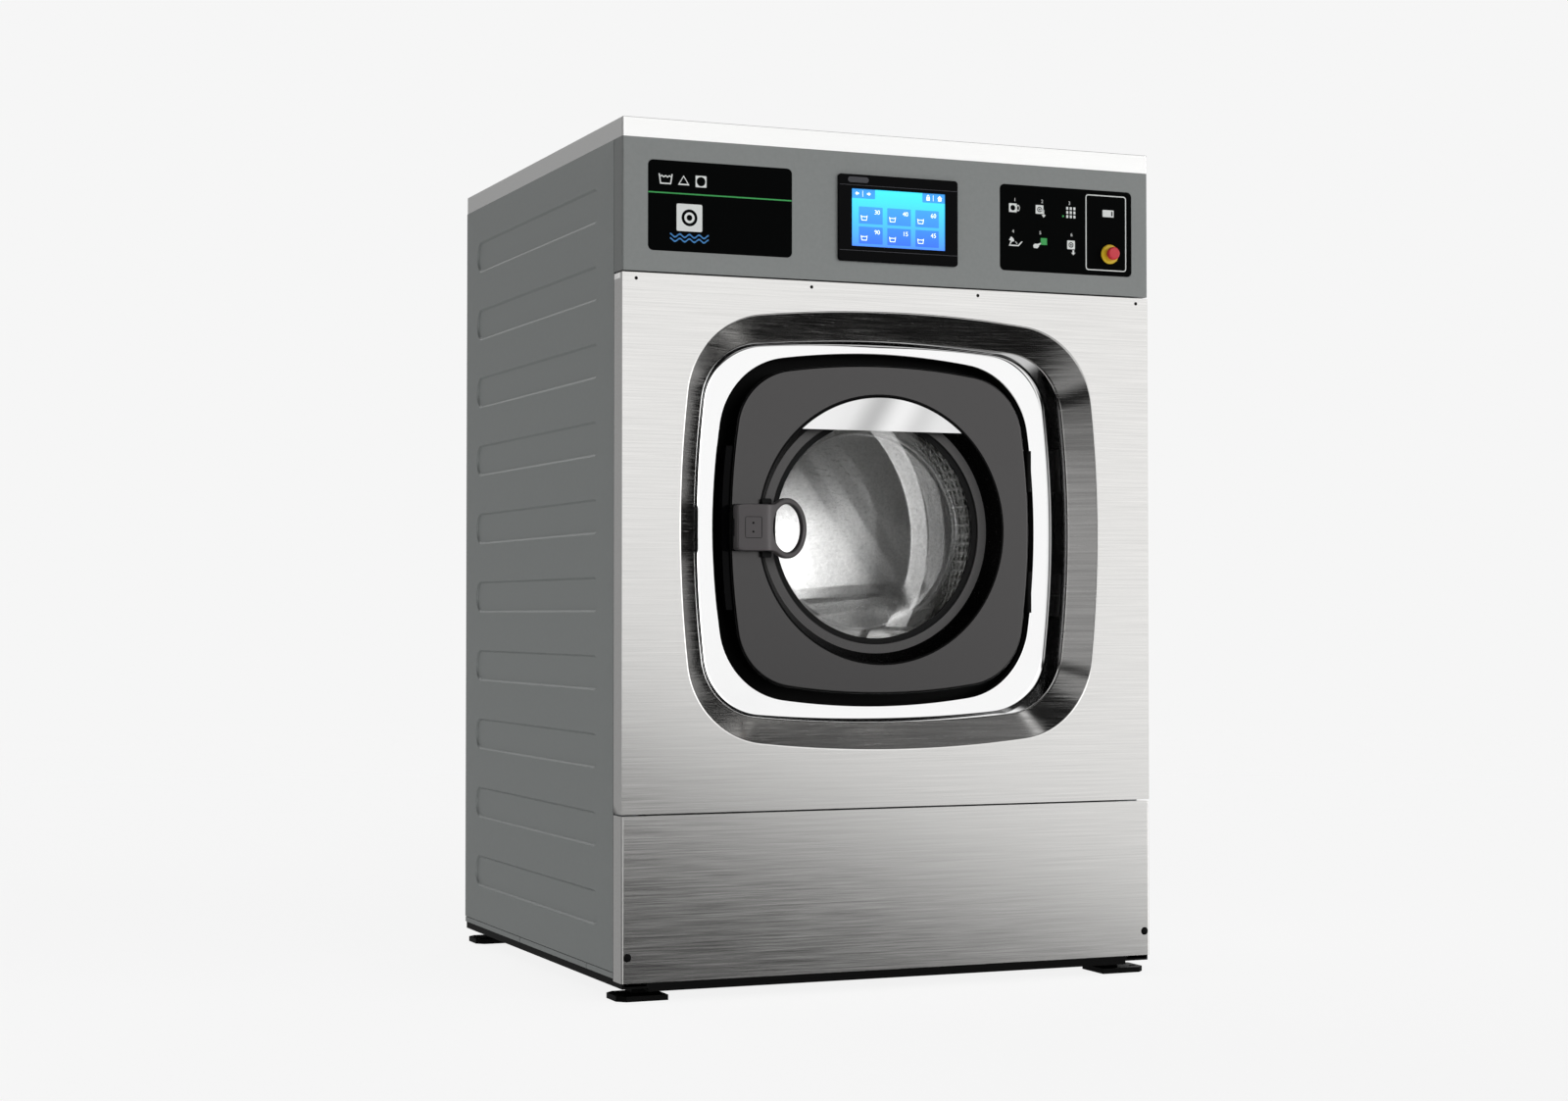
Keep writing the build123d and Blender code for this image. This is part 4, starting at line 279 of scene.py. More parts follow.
# Finishes of one noise: material, tone as a setting or a hex code, lowest and highest share of the tone, roughness,
# grain in mm, swing of the roughness, relief in mm, and what else grained takes
GRAINED = {
    # Cold-rolled 304 sheet brushed along its length: long fine horizontal lines. The real lines are under 0.1 mm
    # apart; they are drawn 1.4 mm apart so that they show.
    "brushed": (
        "brushed_stainless_steel", "steel", 0.91, 1.04, 0.17, 1.4, 0.04, 0.006, dict(stretch=(0.012, 1, 1), fleck=1.6)
    ),
    # The same sheet drawn into the recess: its lines run on into the depth, and their tone swings darker there as
    # painted shade of the recess.
    "drawn": ("drawn_stainless_steel", "steel", 0.72, 1.04, 0.19, 1.6, 0.10, 0.008, dict(stretch=(0.02, 0.02, 1))),
    # Worktop sheet with a finer brush.
    "fine_brushed": ("fine_brushed_steel", "#FBFBFA", 0.98, 1.0, 0.24, 1.2, 0.03, 0.002, dict(stretch=(0.01, 1, 1))),
    # Buffed stainless pressing: near a mirror, with a faint drift left by the buffing wheel.
    "polished": ("polished_stainless_steel", "ring", 0.99, 1.0, 0.10, 30, 0.01, 0.002, {}),
    # Dull ring of bead-blasted steel.
    "ring": ("bead_blasted_steel", "#5A5959", 0.94, 1.04, 0.42, 0.8, 0.05, 0.006, {}),
    # Polyester powder coat in mid grey: satin, with the slight orange peel of baked powder.
    "grey_coat": ("grey_powder_coat", "body_grey", 0.97, 1.03, 0.42, 1.6, 0.04, 0.010, dict(metal=0.35)),
    "side_coat": ("side_powder_coat", "side_grey", 0.97, 1.03, 0.40, 1.6, 0.04, 0.010, dict(metal=0.35)),
    # Sprayed metallic paint under a clear coat: smooth, dark, with a tight highlight along the rounded edge, which is
    # painted near black as a painted dark reflection.
    "door_coat": ("dark_metallic_paint", "door_grey", 0.97, 1.03, 0.24, 0.7, 0.03, 0.002, dict(metal=0.9)),
    # Satin black ABS inside the window funnel.
    "funnel_black": ("satin_black_abs", "#030303", 0.9, 1.1, 0.28, 3, 0.04, 0.002, dict(metal=0, gloss=0.08)),
    # Black powder coat on rails and brackets.
    "black_coat": ("black_powder_coat", "#050505", 0.9, 1.1, 0.45, 1.4, 0.05, 0.01, dict(metal=0, gloss=0.08)),
    # Hot-dip galvanised sections: dull zinc with a spangle some 15 mm across.
    "zinc": ("galvanised_steel", "#A2A6A9", 0.82, 1.1, 0.45, 9, 0.08, 0.01, {}),
    # Injection-moulded ABS from a polished tool.
    "gloss_black": ("gloss_black_abs", "#040405", 0.9, 1.1, 0.10, 8, 0.02, 0.002, dict(metal=0, gloss=0.05)),
    # Screen-printed black polycarbonate plates.
    "black_plate": ("black_polycarbonate", "#030404", 0.9, 1.1, 0.38, 2, 0.03, 0.002, dict(metal=0, gloss=0.02)),
    # EPDM rubber: matt black with a fine mould texture.
    "rubber": ("epdm_rubber", "#080808", 0.85, 1.15, 0.62, 0.9, 0.06, 0.02, dict(metal=0, gloss=0.2)),
    # Glass-filled nylon and ABS mouldings: matt with a faint fibre mottle.
    "yellow": ("yellow_nylon", "stop_yellow", 0.97, 1.03, 0.38, 0.6, 0.04, 0.004, dict(metal=0)),
    "red": ("red_abs", "stop_red", 0.97, 1.03, 0.32, 0.6, 0.04, 0.004, dict(metal=0)),
    "handle": ("dark_grey_nylon", "handle_grey", 0.97, 1.03, 0.36, 0.5, 0.04, 0.006, dict(metal=0.55)),
    "black": ("black_nylon", "#050505", 0.9, 1.1, 0.40, 0.5, 0.05, 0.006, dict(metal=0, gloss=0.15)),
    "grey_plastic": ("grey_polypropylene", "#8D9092", 0.96, 1.04, 0.5, 0.8, 0.05, 0.008, dict(metal=0)),
    # Rolled drum sheet, pickled and tumbled: an even satin that scatters what it reflects.
    "drum": ("tumbled_stainless_steel", "#E6E6E5", 0.72, 1.10, 0.30, 2.0, 0.05, 0.020, {}),
    # Turned and ground steel.
    "bright": ("ground_steel", "#B8B8B8", 0.94, 1.04, 0.25, 0.7, 0.05, 0.003, {}),
    # Sand castings: aluminium painted dark, and grey iron.
    "aluminium": ("painted_cast_aluminium", "#3A3B3D", 0.88, 1.1, 0.5, 1.8, 0.06, 0.03, dict(metal=0.2)),
    "iron": ("cast_iron", "#4A4B4D", 0.85, 1.12, 0.6, 2.2, 0.06, 0.04, dict(metal=0.3)),
    # Enamel printed on the plates: nearly flat colour with the faint screen of the print.
    "white_print": ("white_enamel_print", "print_white", 0.96, 1.0, 0.45, 0.4, 0.03, 0.001, dict(metal=0)),
    "green_print": ("green_enamel_print", "stripe_green", 0.95, 1.03, 0.4, 0.4, 0.03, 0.001, dict(metal=0)),
    "blue_print": ("blue_enamel_print", "#3A86C8", 0.95, 1.03, 0.4, 0.4, 0.03, 0.001, dict(metal=0)),
    "grey_print": ("grey_enamel_print", "#34343A", 0.95, 1.03, 0.4, 0.4, 0.03, 0.001, dict(metal=0)),
}
# Backlit colour display behind glass, bluer towards its lower edge: material, upper and lower tone, height of the
# upper and lower edge in metres, and glow
LIT = {
    "screen": ("backlit_display", "screen_top", "screen_low", 1.195, 1.108, 0.85),
    "tile": ("backlit_tile", "#3391DC", "#2A63D8", 1.170, 1.112, 0.8),
    "tab": ("backlit_tab", "#2C86CF", "#2F8FD6", 1.195, 1.180, 0.8),
    "lit_white": ("backlit_white", "#FFFFFF", "#E8F2FF", 1.195, 1.108, 0.95),
}


def make_finishes():
    """Every finish of the machine by its short name."""
    colours = settings()[0]

    def tone(code):
        return linear(code) if code.startswith("#") else tuple(getattr(colours, code))

    made = {
        short: grained(name, tone(code), *values, **options)
        for short, (name, code, *values, options) in GRAINED.items()
    }
    # The door plate's rounded edge is painted near black: a painted dark reflection, not a colour of the paint.
    edged(made["door_coat"], linear("#020202"))
    # Ground and polished strip: a mirror painted with broad slanting bands of reflected light and shade.
    made["crescent"] = banded("belt_polished_steel", tone("ring"), 0.14, 0.6, DOOR_Z + 0.165, 0.14)
    made["glass"] = glass("borosilicate_glass", linear("#FCFCFC"), linear("#F9F9F9"), 0.7)
    for short, (name, top, low, *values) in LIT.items():
        made[short] = lit_screen(name, tone(top), tone(low), *values)
    return made


# The finish of every solid
NODE_FINISHES = {
    "brushed": ("lower_panel", "front_panel"),
    "fine_brushed": ("worktop",),
    "polished": ("door_surround",),
    "crescent": ("crescent_plate",),
    "ring": ("clamp_ring",),
    "grey_coat": ("control_fascia", "rear_panel", "dispenser_lid"),
    "side_coat": ("left_side_panel", "right_side_panel", "side_skirts"),
    "door_coat": ("door_plate",),
    "black_coat": (
        # tub_front takes the black coat as painted shade: a dark sheet for what shows through the door gap.
        "base_rails", "foot_plates", "door_frame", "hinge_bracket", "tub_front", "control_box", "panel_fasteners",
    ),
    "zinc": ("frame_posts", "cradle", "damper_tubes"),
    "gloss_black": ("display_bezel", "edge_grip"),
    "funnel_black": ("door_bezel",),
    "black_plate": ("label_plate", "guide_plate"),
    "screen": ("display_screen",),
    "glass": ("door_glass",),
    "rubber": ("door_gasket", "glass_gasket", "drain_bellows", "fill_bellows", "drive_belt"),
    "yellow": ("stop_collar",),
    "red": ("stop_head",),
    "handle": ("handle_lever",),
    "black": ("handle_base", "lock_housing", "cable_gland", "inlet_valves", "drain_valve"),
    "grey_plastic": ("dispenser_box", "drain_pipe"),
    "drum": ("tub_shell", "tub_back", "drum_shell", "drum_back", "lifters"),
    "bright": ("drum_shaft", "bearings", "damper_rods", "suspension_springs", "stop_stem"),
    "aluminium": ("motor_body", "bearing_housing", "drum_pulley", "motor_pulley"),
    "iron": ("counterweight",),
}
# The materials by short name, once made
FINISHES = {}


def woven(points, around=False, along=False):
    """Quads over a grid of points, rows by columns, which may close on itself either way."""
    rows, columns = points.shape[:2]
    row, column = np.meshgrid(
        np.arange(rows if along else rows - 1), np.arange(columns if around else columns - 1), indexing="ij"
    )
    next_row, next_column = (row + 1) % rows, (column + 1) % columns
    corners = [row * columns + column, row * columns + next_column]
    corners += [next_row * columns + next_column, next_row * columns + column]
    return points.reshape(-1, 3), np.stack(corners, -1).reshape(-1, 4)


def make_piece(name, shells, body, finish, stands_for=(), smooth=35, facing=None, even=False):
    """One object from shells of (points, faces), which rides on its body and takes its finish.

    A piece without a body is attached to none. Doubled points merge. Closed
    shells turn outwards, and an open sheet turns so that most of it faces the given way, which is a direction or a
    function of a face's centre. Even keeps large flat faces flat up to their rounded edges.
    """
    points, faces, first = [], [], 0
    for shell_points, shell_faces in shells:
        points.append(shell_points)
        faces.extend([[int(corner) + first for corner in face] for face in shell_faces])
        first += len(shell_points)
    mesh = bpy.data.meshes.new(name)
    mesh.from_pydata(np.concatenate(points).tolist(), [], faces)
    shape = bmesh.new()
    shape.from_mesh(mesh)
    bmesh.ops.remove_doubles(shape, verts=shape.verts, dist=2e-6)
    bmesh.ops.recalc_face_normals(shape, faces=shape.faces)
    if facing:
        towards = facing if callable(facing) else lambda centre: facing
        if sum(face.normal.dot(towards(face.calc_center_median())) * face.calc_area() for face in shape.faces) < 0:
            bmesh.ops.reverse_faces(shape, faces=shape.faces)
    shape.to_mesh(mesh)
    shape.free()
    mesh.polygons.foreach_set("use_smooth", [True] * len(mesh.polygons))
    mesh.set_sharp_from_angle(angle=radians(smooth))
    piece = bpy.data.objects.new(name, mesh)
    bpy.context.scene.collection.objects.link(piece)
    mesh.materials.append(FINISHES[finish])
    if even:
        weighted = piece.modifiers.new("flat_faces", "WEIGHTED_NORMAL")
        weighted.keep_sharp = True
    if body:
        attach(piece, body)
    if stands_for:
        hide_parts(*stands_for)
    return piece


def thicken(piece, thickness):
    """Gives an open sheet its wall, on the inside, before its normals are weighted."""
    wall = piece.modifiers.new("sheet", "SOLIDIFY")
    wall.thickness, wall.offset, wall.use_even_offset = thickness, -1, True
    piece.modifiers.move(len(piece.modifiers) - 1, 0)


def arc(centre, radius, first, last, steps):
    """Points of an arc: the centre plus the radius times the cosine and sine of each turn."""
    turns = np.radians(np.linspace(first, last, steps + 1))
    return np.stack([centre[0] + radius * np.cos(turns), centre[1] + radius * np.sin(turns)], -1)


def squircle(outline, grow=0.0, steps=(12, 20, 14)):
    """Points in metres round a rounded square of eight tangent arcs, from its right side anticlockwise.

    A quarter is a side arc, a corner arc that touches both, and a top arc. The corner's centre lies where the
    two circles of the side's and top's reach, radius less corner radius, cross.
    """
    half_across, half_up, side, top, corner = [size + grow for size in outline]
    side_x, top_y = half_across - side, half_up - top
    side_reach, top_reach = side - corner, top - corner
    span = np.hypot(side_x, top_y)
    along = (side_reach**2 - top_reach**2 + span**2) / (2 * span)
    across = np.sqrt(side_reach**2 - along**2)
    corner_x = side_x - side_x / span * along - top_y / span * across
    corner_y = top_y / span * along - side_x / span * across
    side_turn = np.degrees(np.arctan2(corner_y, corner_x - side_x))
    top_turn = np.degrees(np.arctan2(corner_y - top_y, corner_x))
    quarter = np.concatenate([
        arc((side_x, 0), side, 0, side_turn, steps[0])[:-1],
        arc((corner_x, corner_y), corner, side_turn, top_turn, steps[1])[:-1],
        arc((0, top_y), top, top_turn, 90, steps[2]),
    ])
    half = np.concatenate([quarter, quarter[-2::-1] * (-1, 1)])
    return np.concatenate([half, half[-2:0:-1] * (1, -1)]) * MM


def standing(outline, depth, z):
    """A flat outline stood up across the machine at a depth in metres from the front, round height z."""
    outline = np.asarray(outline)
    return np.stack([outline[..., 0], np.full(outline.shape[:-1], FRONT + depth), outline[..., 1] + z], -1)


def rounded(before, corner, after, reach, steps=5):
    """Rings that round a corner ring: a parabola from reach before it to reach after it, its pole at the corner."""
    towards_before = before - corner
    towards_after = after - corner
    towards_before /= np.linalg.norm(towards_before, axis=-1, keepdims=True)
    towards_after /= np.linalg.norm(towards_after, axis=-1, keepdims=True)
    share = np.linspace(0, 1, steps + 1)[:, None, None]
    first, last = corner + towards_before * reach, corner + towards_after * reach
    return (1 - share) ** 2 * first + 2 * share * (1 - share) * corner + share**2 * last


def bridged(rings, reaches):
    """A strip of rings carried over corner rings, each corner rounded by its reach; the first and last stay sharp."""
    made = [rings[0][None]]
    for before, corner, after, reach in zip(rings, rings[1:], rings[2:], reaches):
        made.append(rounded(before, corner, after, reach) if reach else corner[None])
    made.append(rings[-1][None])
    return np.concatenate(made)


def on_rectangle(outline, low, high):
    """Where the rays from the origin through an outline's points meet a rectangle, with its four corners among them."""
    low, high = np.asarray(low), np.asarray(high)
    bounds = np.where(outline > 0, high, low)
    with np.errstate(divide="ignore"):
        reach = np.min(np.where(np.abs(outline) > 1e-9, bounds / np.where(outline == 0, 1e-12, outline), 1e9), axis=-1)
    met = outline * reach[:, None]
    for corner in ((low[0], low[1]), (low[0], high[1]), (high[0], low[1]), (high[0], high[1])):
        met[np.argmin(np.linalg.norm(met - corner, axis=-1))] = corner
    return met


def turned(profile, z, x=0.0, steps=96, closed_profile=False):
    """A profile of (depth, radius) in metres carried round a front-to-back axis: x + r cos, z + r sin."""
    profile = np.asarray(profile)
    turns = np.linspace(0, 2 * pi, steps, endpoint=False)
    depth, radius = profile[:, 0, None], profile[:, 1, None]
    points = np.stack([
        x + radius * np.cos(turns), np.broadcast_to(FRONT + depth, (len(profile), steps)), z + radius * np.sin(turns)
    ], -1)
    return woven(points, around=True, along=closed_profile)


def round_rectangle(x, z, width, height, radius, steps=6):
    """Points anticlockwise round a rectangle whose corners are quarter arcs."""
    reach_x, reach_z = width / 2 - radius, height / 2 - radius
    corners = ((1, 1, 0), (-1, 1, 90), (-1, -1, 180), (1, -1, 270))
    return np.concatenate([
        arc((x + side * reach_x, z + up * reach_z), radius, first, first + 90, steps) for side, up, first in corners
    ])


def circle(x, z, radius, steps=24):
    """Points anticlockwise round a circle."""
    return arc((x, z), radius, 0, 360 - 360 / steps, steps - 1)


def slab(outline, front, thickness):
    """A flat mark: an outline filled at its front and back and walled between them."""
    count = len(outline)
    rings = np.stack([standing(outline, front, 0), standing(outline, front + thickness, 0)])
    points, walls = woven(rings, around=True)
    return points, walls.tolist() + [list(range(count)), list(range(2 * count - 1, count - 1, -1))]


def bar(x, z, width, height, radius, steps, front, thickness):
    """A flat mark in the shape of a rectangle with rounded corners."""
    return slab(round_rectangle(x, z, width, height, radius, steps), front, thickness)


def frame_mark(outer, inner, front, thickness):
    """A flat mark with a hole: a band between two outlines, carried round its front, inside, back and outside."""
    back = front + thickness
    rings = [standing(outer, front, 0), standing(inner, front, 0), standing(inner, back, 0), standing(outer, back, 0)]
    return woven(np.stack(rings), around=True, along=True)


def numeral(body, x, z, height, front, thickness):
    """A plain number as a mesh: its flat letter curve is filled, given a thickness and stood up."""
    curve = bpy.data.curves.new("number", "FONT")
    curve.body, curve.size, curve.extrude, curve.resolution_u = body, height / 0.7, thickness / 2, 3
    curve.align_x, curve.align_y = "CENTER", "CENTER"
    holder = bpy.data.objects.new("number", curve)
    mesh = bpy.data.meshes.new_from_object(holder)
    points = np.empty(3 * len(mesh.vertices))
    mesh.vertices.foreach_get("co", points)
    points = points.reshape(-1, 3)
    faces = [list(face.vertices) for face in mesh.polygons]
    bpy.data.objects.remove(holder)
    bpy.data.curves.remove(curve)
    bpy.data.meshes.remove(mesh)
    stood = np.stack([x + points[:, 0], FRONT + front + thickness / 2 - points[:, 2], z + points[:, 1]], -1)
    return stood, faces


class WASHER_OT_finishes(bpy.types.Operator):
    """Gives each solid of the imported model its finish"""

    bl_idname = "washer.finishes"
    bl_label = "Finishes"

    def execute(self, context):
        FINISHES.update(make_finishes())
        dressed = set()
        for finish, names in NODE_FINISHES.items():
            for name in names:
                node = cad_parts[name]
                node.data.materials.clear()
                node.data.materials.append(FINISHES[finish])
                dressed.add(name)
        missing = set(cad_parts) - dressed
        if missing:
            raise RuntimeError(f"no finish for {sorted(missing)}")
        return {"FINISHED"}


# Rounded squares of the front: half width, half height, radius of the sides, of the top and of the corners, in mm
MOUTH = (345.0, 327.5, 1780.0, 1960.0, 131.0)
THROAT = (311.0, 288.5, 1600.0, 2200.0, 98.0)
RING_FLOOR = (297.0, 287.0, 1560.0, 2160.0, 95.0)
RING_HOLE = (268.0, 267.7, 1100.0, 1130.0, 120.5)
RECESS_DEPTH, RING_DEPTH = 35 * MM, 68 * MM
PANEL_LOW, PANEL_HIGH = 270 * MM, 1052.5 * MM
HALF_WIDTH, RETURN_DEPTH, SHEET = 435 * MM, 36 * MM, 2 * MM


class WASHER_OT_door_panel(bpy.types.Operator):
    """Makes the brushed front panel: a folded tray with a deep funnel and rounded edges"""

    bl_idname = "washer.door_panel"
    bl_label = "Door panel"

    def execute(self, context):
        sizes = settings()[1]
        mouth = squircle(MOUTH)
        low, high = (-HALF_WIDTH, PANEL_LOW - RECESS_Z), (HALF_WIDTH, PANEL_HIGH - RECESS_Z)
        edge = on_rectangle(mouth, low, high)
        rings = [
            standing(edge, RETURN_DEPTH, RECESS_Z),
            standing(edge, 0, RECESS_Z),
            standing(mouth, 0, RECESS_Z),
            standing(squircle(THROAT), RECESS_DEPTH, RECESS_Z),
            standing(squircle(THROAT, -0.6), RECESS_DEPTH + 2 * SHEET, RECESS_Z),
        ]
        skin = bridged(rings, (0, sizes.mouth_edge, SHEET))
        piece = make_piece(
            "door_panel", [woven(skin, around=True)], "cabinet", "brushed", ("front_panel",),
            facing=TO_FRONT, even=True,
        )
        thicken(piece, 1.2 * MM)
        # The faces behind the front take the darker drawn finish: painted shade of the recess.
        piece.data.materials.append(FINISHES["drawn"])
        for face in piece.data.polygons:
            face.material_index = int(face.center.y > FRONT + 0.4 * MM and abs(face.center.x) < 400 * MM
                                      and abs(face.center.z - RECESS_Z) < 350 * MM)
        return {"FINISHED"}


class WASHER_OT_door_ring(bpy.types.Operator):
    """Makes the polished ring between the recess and the door gap: a steep wall, a cove and a flat floor"""

    bl_idname = "washer.door_ring"
    bl_label = "Door ring"

    def execute(self, context):
        sizes = settings()[1]
        rings = [
            standing(squircle(THROAT, 1.2), RECESS_DEPTH + 0.5 * MM, RECESS_Z),
            standing(squircle(RING_FLOOR), RING_DEPTH, RECESS_Z + 0.5 * MM),
            standing(squircle(RING_HOLE), RING_DEPTH, DOOR_Z),
            standing(squircle(RING_HOLE), RING_DEPTH + 12 * MM, DOOR_Z),
        ]
        skin = bridged(rings, (sizes.ring_cove, SHEET))
        piece = make_piece(
            "door_ring", [woven(skin, around=True)], "cabinet", "polished", ("door_surround",),
            facing=TO_FRONT, even=True,
        )
        thicken(piece, 1.5 * MM)
        return {"FINISHED"}


RIBS, RIB_LOW, RIB_HIGH = 10, 125.3 * MM, 1164.8 * MM
SIDE_LOW, SIDE_HIGH = 40.5 * MM, 1249.5 * MM


class WASHER_OT_side_panels(bpy.types.Operator):
    """Makes the two side panels: each a sheet with ten long ribs pressed into it"""

    bl_idname = "washer.side_panels"
    bl_label = "Side panels"

    def execute(self, context):
        sizes = settings()[1]
        half_rib, half_straight = 26.75 * MM, 301.25 * MM
        middle = FRONT + 430 * MM
        centres = np.linspace(RIB_LOW, RIB_HIGH, RIBS)
        borders = np.concatenate([[SIDE_LOW], (centres[1:] + centres[:-1]) / 2, [SIDE_HIGH]])

        # Across a rib: flat from its middle line, then a slope that eases in and out, up to the sheet
        ease = np.linspace(0, 1, 9)
        slope = 1 - sizes.rib_slope / half_rib * (1 - ease)
        reach = np.concatenate([[0, 0.5], slope])
        press = sizes.rib_press * np.concatenate([[1, 1], 1 - ease**2 * (3 - 2 * ease)])
        turns = np.radians(np.concatenate([np.linspace(-90, 90, 17), np.linspace(90, 270, 17)]))
        end = np.repeat([1, -1], 17)
        for name, side in (("left_side_panel", -1), ("right_side_panel", 1)):
            low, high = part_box(name)
            shells = []
            for centre, below, above in zip(centres, borders, borders[1:]):
                run = middle + end * half_straight + reach[:, None] * half_rib * np.cos(turns)
                height = centre + reach[:, None] * half_rib * np.sin(turns)
                rim_run = np.where(end > 0, high[1], low[1])
                rim_height = centre + np.sin(turns) * np.where(np.sin(turns) > 0, above - centre, centre - below)
                depth = np.concatenate([np.broadcast_to(press[:, None], run.shape), np.zeros((1, len(turns)))])
                points = np.stack([
                    side * (HALF_WIDTH - depth), np.vstack([run, rim_run]), np.vstack([height, rim_height])
                ], -1)
                shells.append(woven(points, around=True))
            piece = make_piece(
                "left_casing" if side < 0 else "right_casing", shells, "cabinet", "side_coat", (name,),
                facing=Vector((side, 0, 0)), even=True,
            )
            thicken(piece, SHEET)
        return {"FINISHED"}


SCREEN_X, SCREEN_Z, SCREEN_WIDTH, SCREEN_HEIGHT, SCREEN_FRONT = 3 * MM, 1151.5 * MM, 156 * MM, 87 * MM, -3.5 * MM
BEZEL_Z, BEZEL_WIDTH, BEZEL_HEIGHT, BEZEL_FRONT = 1150.8 * MM, 198 * MM, 130.5 * MM, -5 * MM


class WASHER_OT_display(bpy.types.Operator):
    """Makes the display: its rounded bezel and the lit picture of tabs and six numbered tiles"""

    bl_idname = "washer.display"
    bl_label = "Display"

    def execute(self, context):
        height = settings()[1].print_height
        lifted = (SCREEN_FRONT - 2 * height, height)
        left, top = SCREEN_X - SCREEN_WIDTH / 2, SCREEN_Z + SCREEN_HEIGHT / 2

        def bezel_ring(grow, depth):
            outline = round_rectangle(SCREEN_X, BEZEL_Z, BEZEL_WIDTH + grow, BEZEL_HEIGHT + grow, 5 * MM + grow / 2)
            return standing(outline, depth, 0)

        window = round_rectangle(SCREEN_X, SCREEN_Z, SCREEN_WIDTH - 1 * MM, SCREEN_HEIGHT - 1 * MM, 1 * MM)
        rings = [
            bezel_ring(0, 1.5 * MM), bezel_ring(0, BEZEL_FRONT), standing(window, BEZEL_FRONT, 0),
            standing(window, SCREEN_FRONT - 0.1 * MM, 0),
        ]
        make_piece(
            "bezel_shell", [woven(bridged(rings, (2 * MM, 0)), around=True)], "cabinet", "gloss_black",
            ("display_bezel",), facing=TO_FRONT, even=True,
        )
        line = (BEZEL_WIDTH - 3 * MM, 0.7 * MM, 0.3 * MM, 2, BEZEL_FRONT - 0.05 * MM, height)
        pill = (34 * MM, 8.5 * MM, 4.2 * MM, 6, BEZEL_FRONT - 0.1 * MM, height)
        lines = [bar(SCREEN_X, BEZEL_Z + up * 49 * MM, *line) for up in (-1, 1)]
        lines.append(bar(SCREEN_X - 67 * MM, BEZEL_Z + 57 * MM, *pill))
        make_piece("bezel_marks", lines, "cabinet", "grey_print")

        # Picture: places are shares of the screen from its left and top edges
        def spot(across, down):
            return left + across * SCREEN_WIDTH, top - down * SCREEN_HEIGHT

        flat = (SCREEN_FRONT - height, height)
        tabs, tiles, marks = [], [], []
        for first, last in ((0.0, 0.25), (0.755, 1.0)):
            x, z = spot((first + last) / 2, 0.085)
            tabs.append(bar(x, z, (last - first) * SCREEN_WIDTH, 0.165 * SCREEN_HEIGHT, 1.2 * MM, 3, *flat))
        for across in (0.12, 0.87):
            x, z = spot(across, 0.085)
            marks.append(bar(x, z, 0.6 * MM, 9 * MM, 0.2 * MM, 1, *lifted))
        for row in range(2):
            for column in range(3):
                x, z = spot(0.205 + 0.30 * column, 0.455 + 0.345 * row)
                tiles.append(bar(x, z, 39 * MM, 25.5 * MM, 0.8 * MM, 3, *flat))
                marks.extend(wash_tub(x - 11 * MM, z - 4.5 * MM, 11 * MM, *lifted))
                number = str((30, 40, 60, 90, 15, 45)[3 * row + column])
                marks.append(numeral(number, x + 10.5 * MM, z + 5 * MM, 6.5 * MM, *lifted))
        x, z = spot(0.815, 0.085)
        marks.append(bar(x, z - 1.5 * MM, 5.5 * MM, 5 * MM, 0.8 * MM, 2, *lifted))
        shackle = [
            round_rectangle(x, z + 2 * MM, wide, tall, radius, 3)
            for wide, tall, radius in ((4 * MM, 5 * MM, 1.9 * MM), (2.4 * MM, 3.4 * MM, 1.1 * MM))
        ]
        marks.append(frame_mark(*shackle, *lifted))
        x, z = spot(0.94, 0.085)
        roof = np.array([(-4, 0), (4, 0), (0, 4)]) * MM + (x, z)
        marks += [slab(roof, *lifted), bar(x, z - 2 * MM, 5.5 * MM, 4 * MM, 0.3 * MM, 1, *lifted)]
        for across in (0.06, 0.185):
            x, z = spot(across, 0.085)
            arrow = np.array([(-3, 0), (0, 3), (0, 1.2), (3, 1.2), (3, -1.2), (0, -1.2), (0, -3)]) * MM
            marks.append(slab(arrow[::-1] * (1 if across < 0.1 else -1, 1) + (x, z), *lifted))
        make_piece("screen_tabs", tabs, "cabinet", "tab")
        make_piece("screen_tiles", tiles, "cabinet", "tile")
        make_piece("screen_marks", marks, "cabinet", "lit_white")
        return {"FINISHED"}


def wash_tub(x, z, width, front, thickness):
    """The common care sign of a wash tub: a band that narrows downwards and is open at its top, and a water line."""
    across = np.linspace(-1, 1, 17)
    water = 0.5 + 0.09 * np.cos(across * 3 * pi)
    outer = np.array([(-1.0, 0.75), (-0.78, -0.62), (0.78, -0.62), (1.0, 0.75), (0.82, 0.75), (0.64, -0.44),
                      (-0.64, -0.44), (-0.82, 0.75)])
    wave = np.concatenate([
        np.stack([across * 0.80, water - 0.18], -1), np.stack([across * 0.80, water], -1)[::-1]
    ])
    scale = width / 2
    return [slab(shape * scale + (x, z), front, thickness) for shape in (outer, wave)]


def machine_sign(x, z, width, front, thickness, door_open):
    """A plain picture of a front loader: a square band with a round hole, and its door as a ring, shut or open."""
    half = width / 2
    hole = circle(x, z, 0.62 * half, 28)
    square = round_rectangle(x, z, width, width, 0.12 * half, 6)
    marks = [frame_mark(square, hole, front, thickness)]
    door_x = x + (1.35 * half if door_open else 0)
    squeeze = (0.55, 1.0) if door_open else (1.0, 1.0)
    shares = (0.72, 0.5) if door_open else (0.40, 0.22)
    rings = [circle(0, 0, share * half, 24) * squeeze + (door_x, z) for share in shares]
    marks.append(frame_mark(*rings, front, thickness))
    return marks


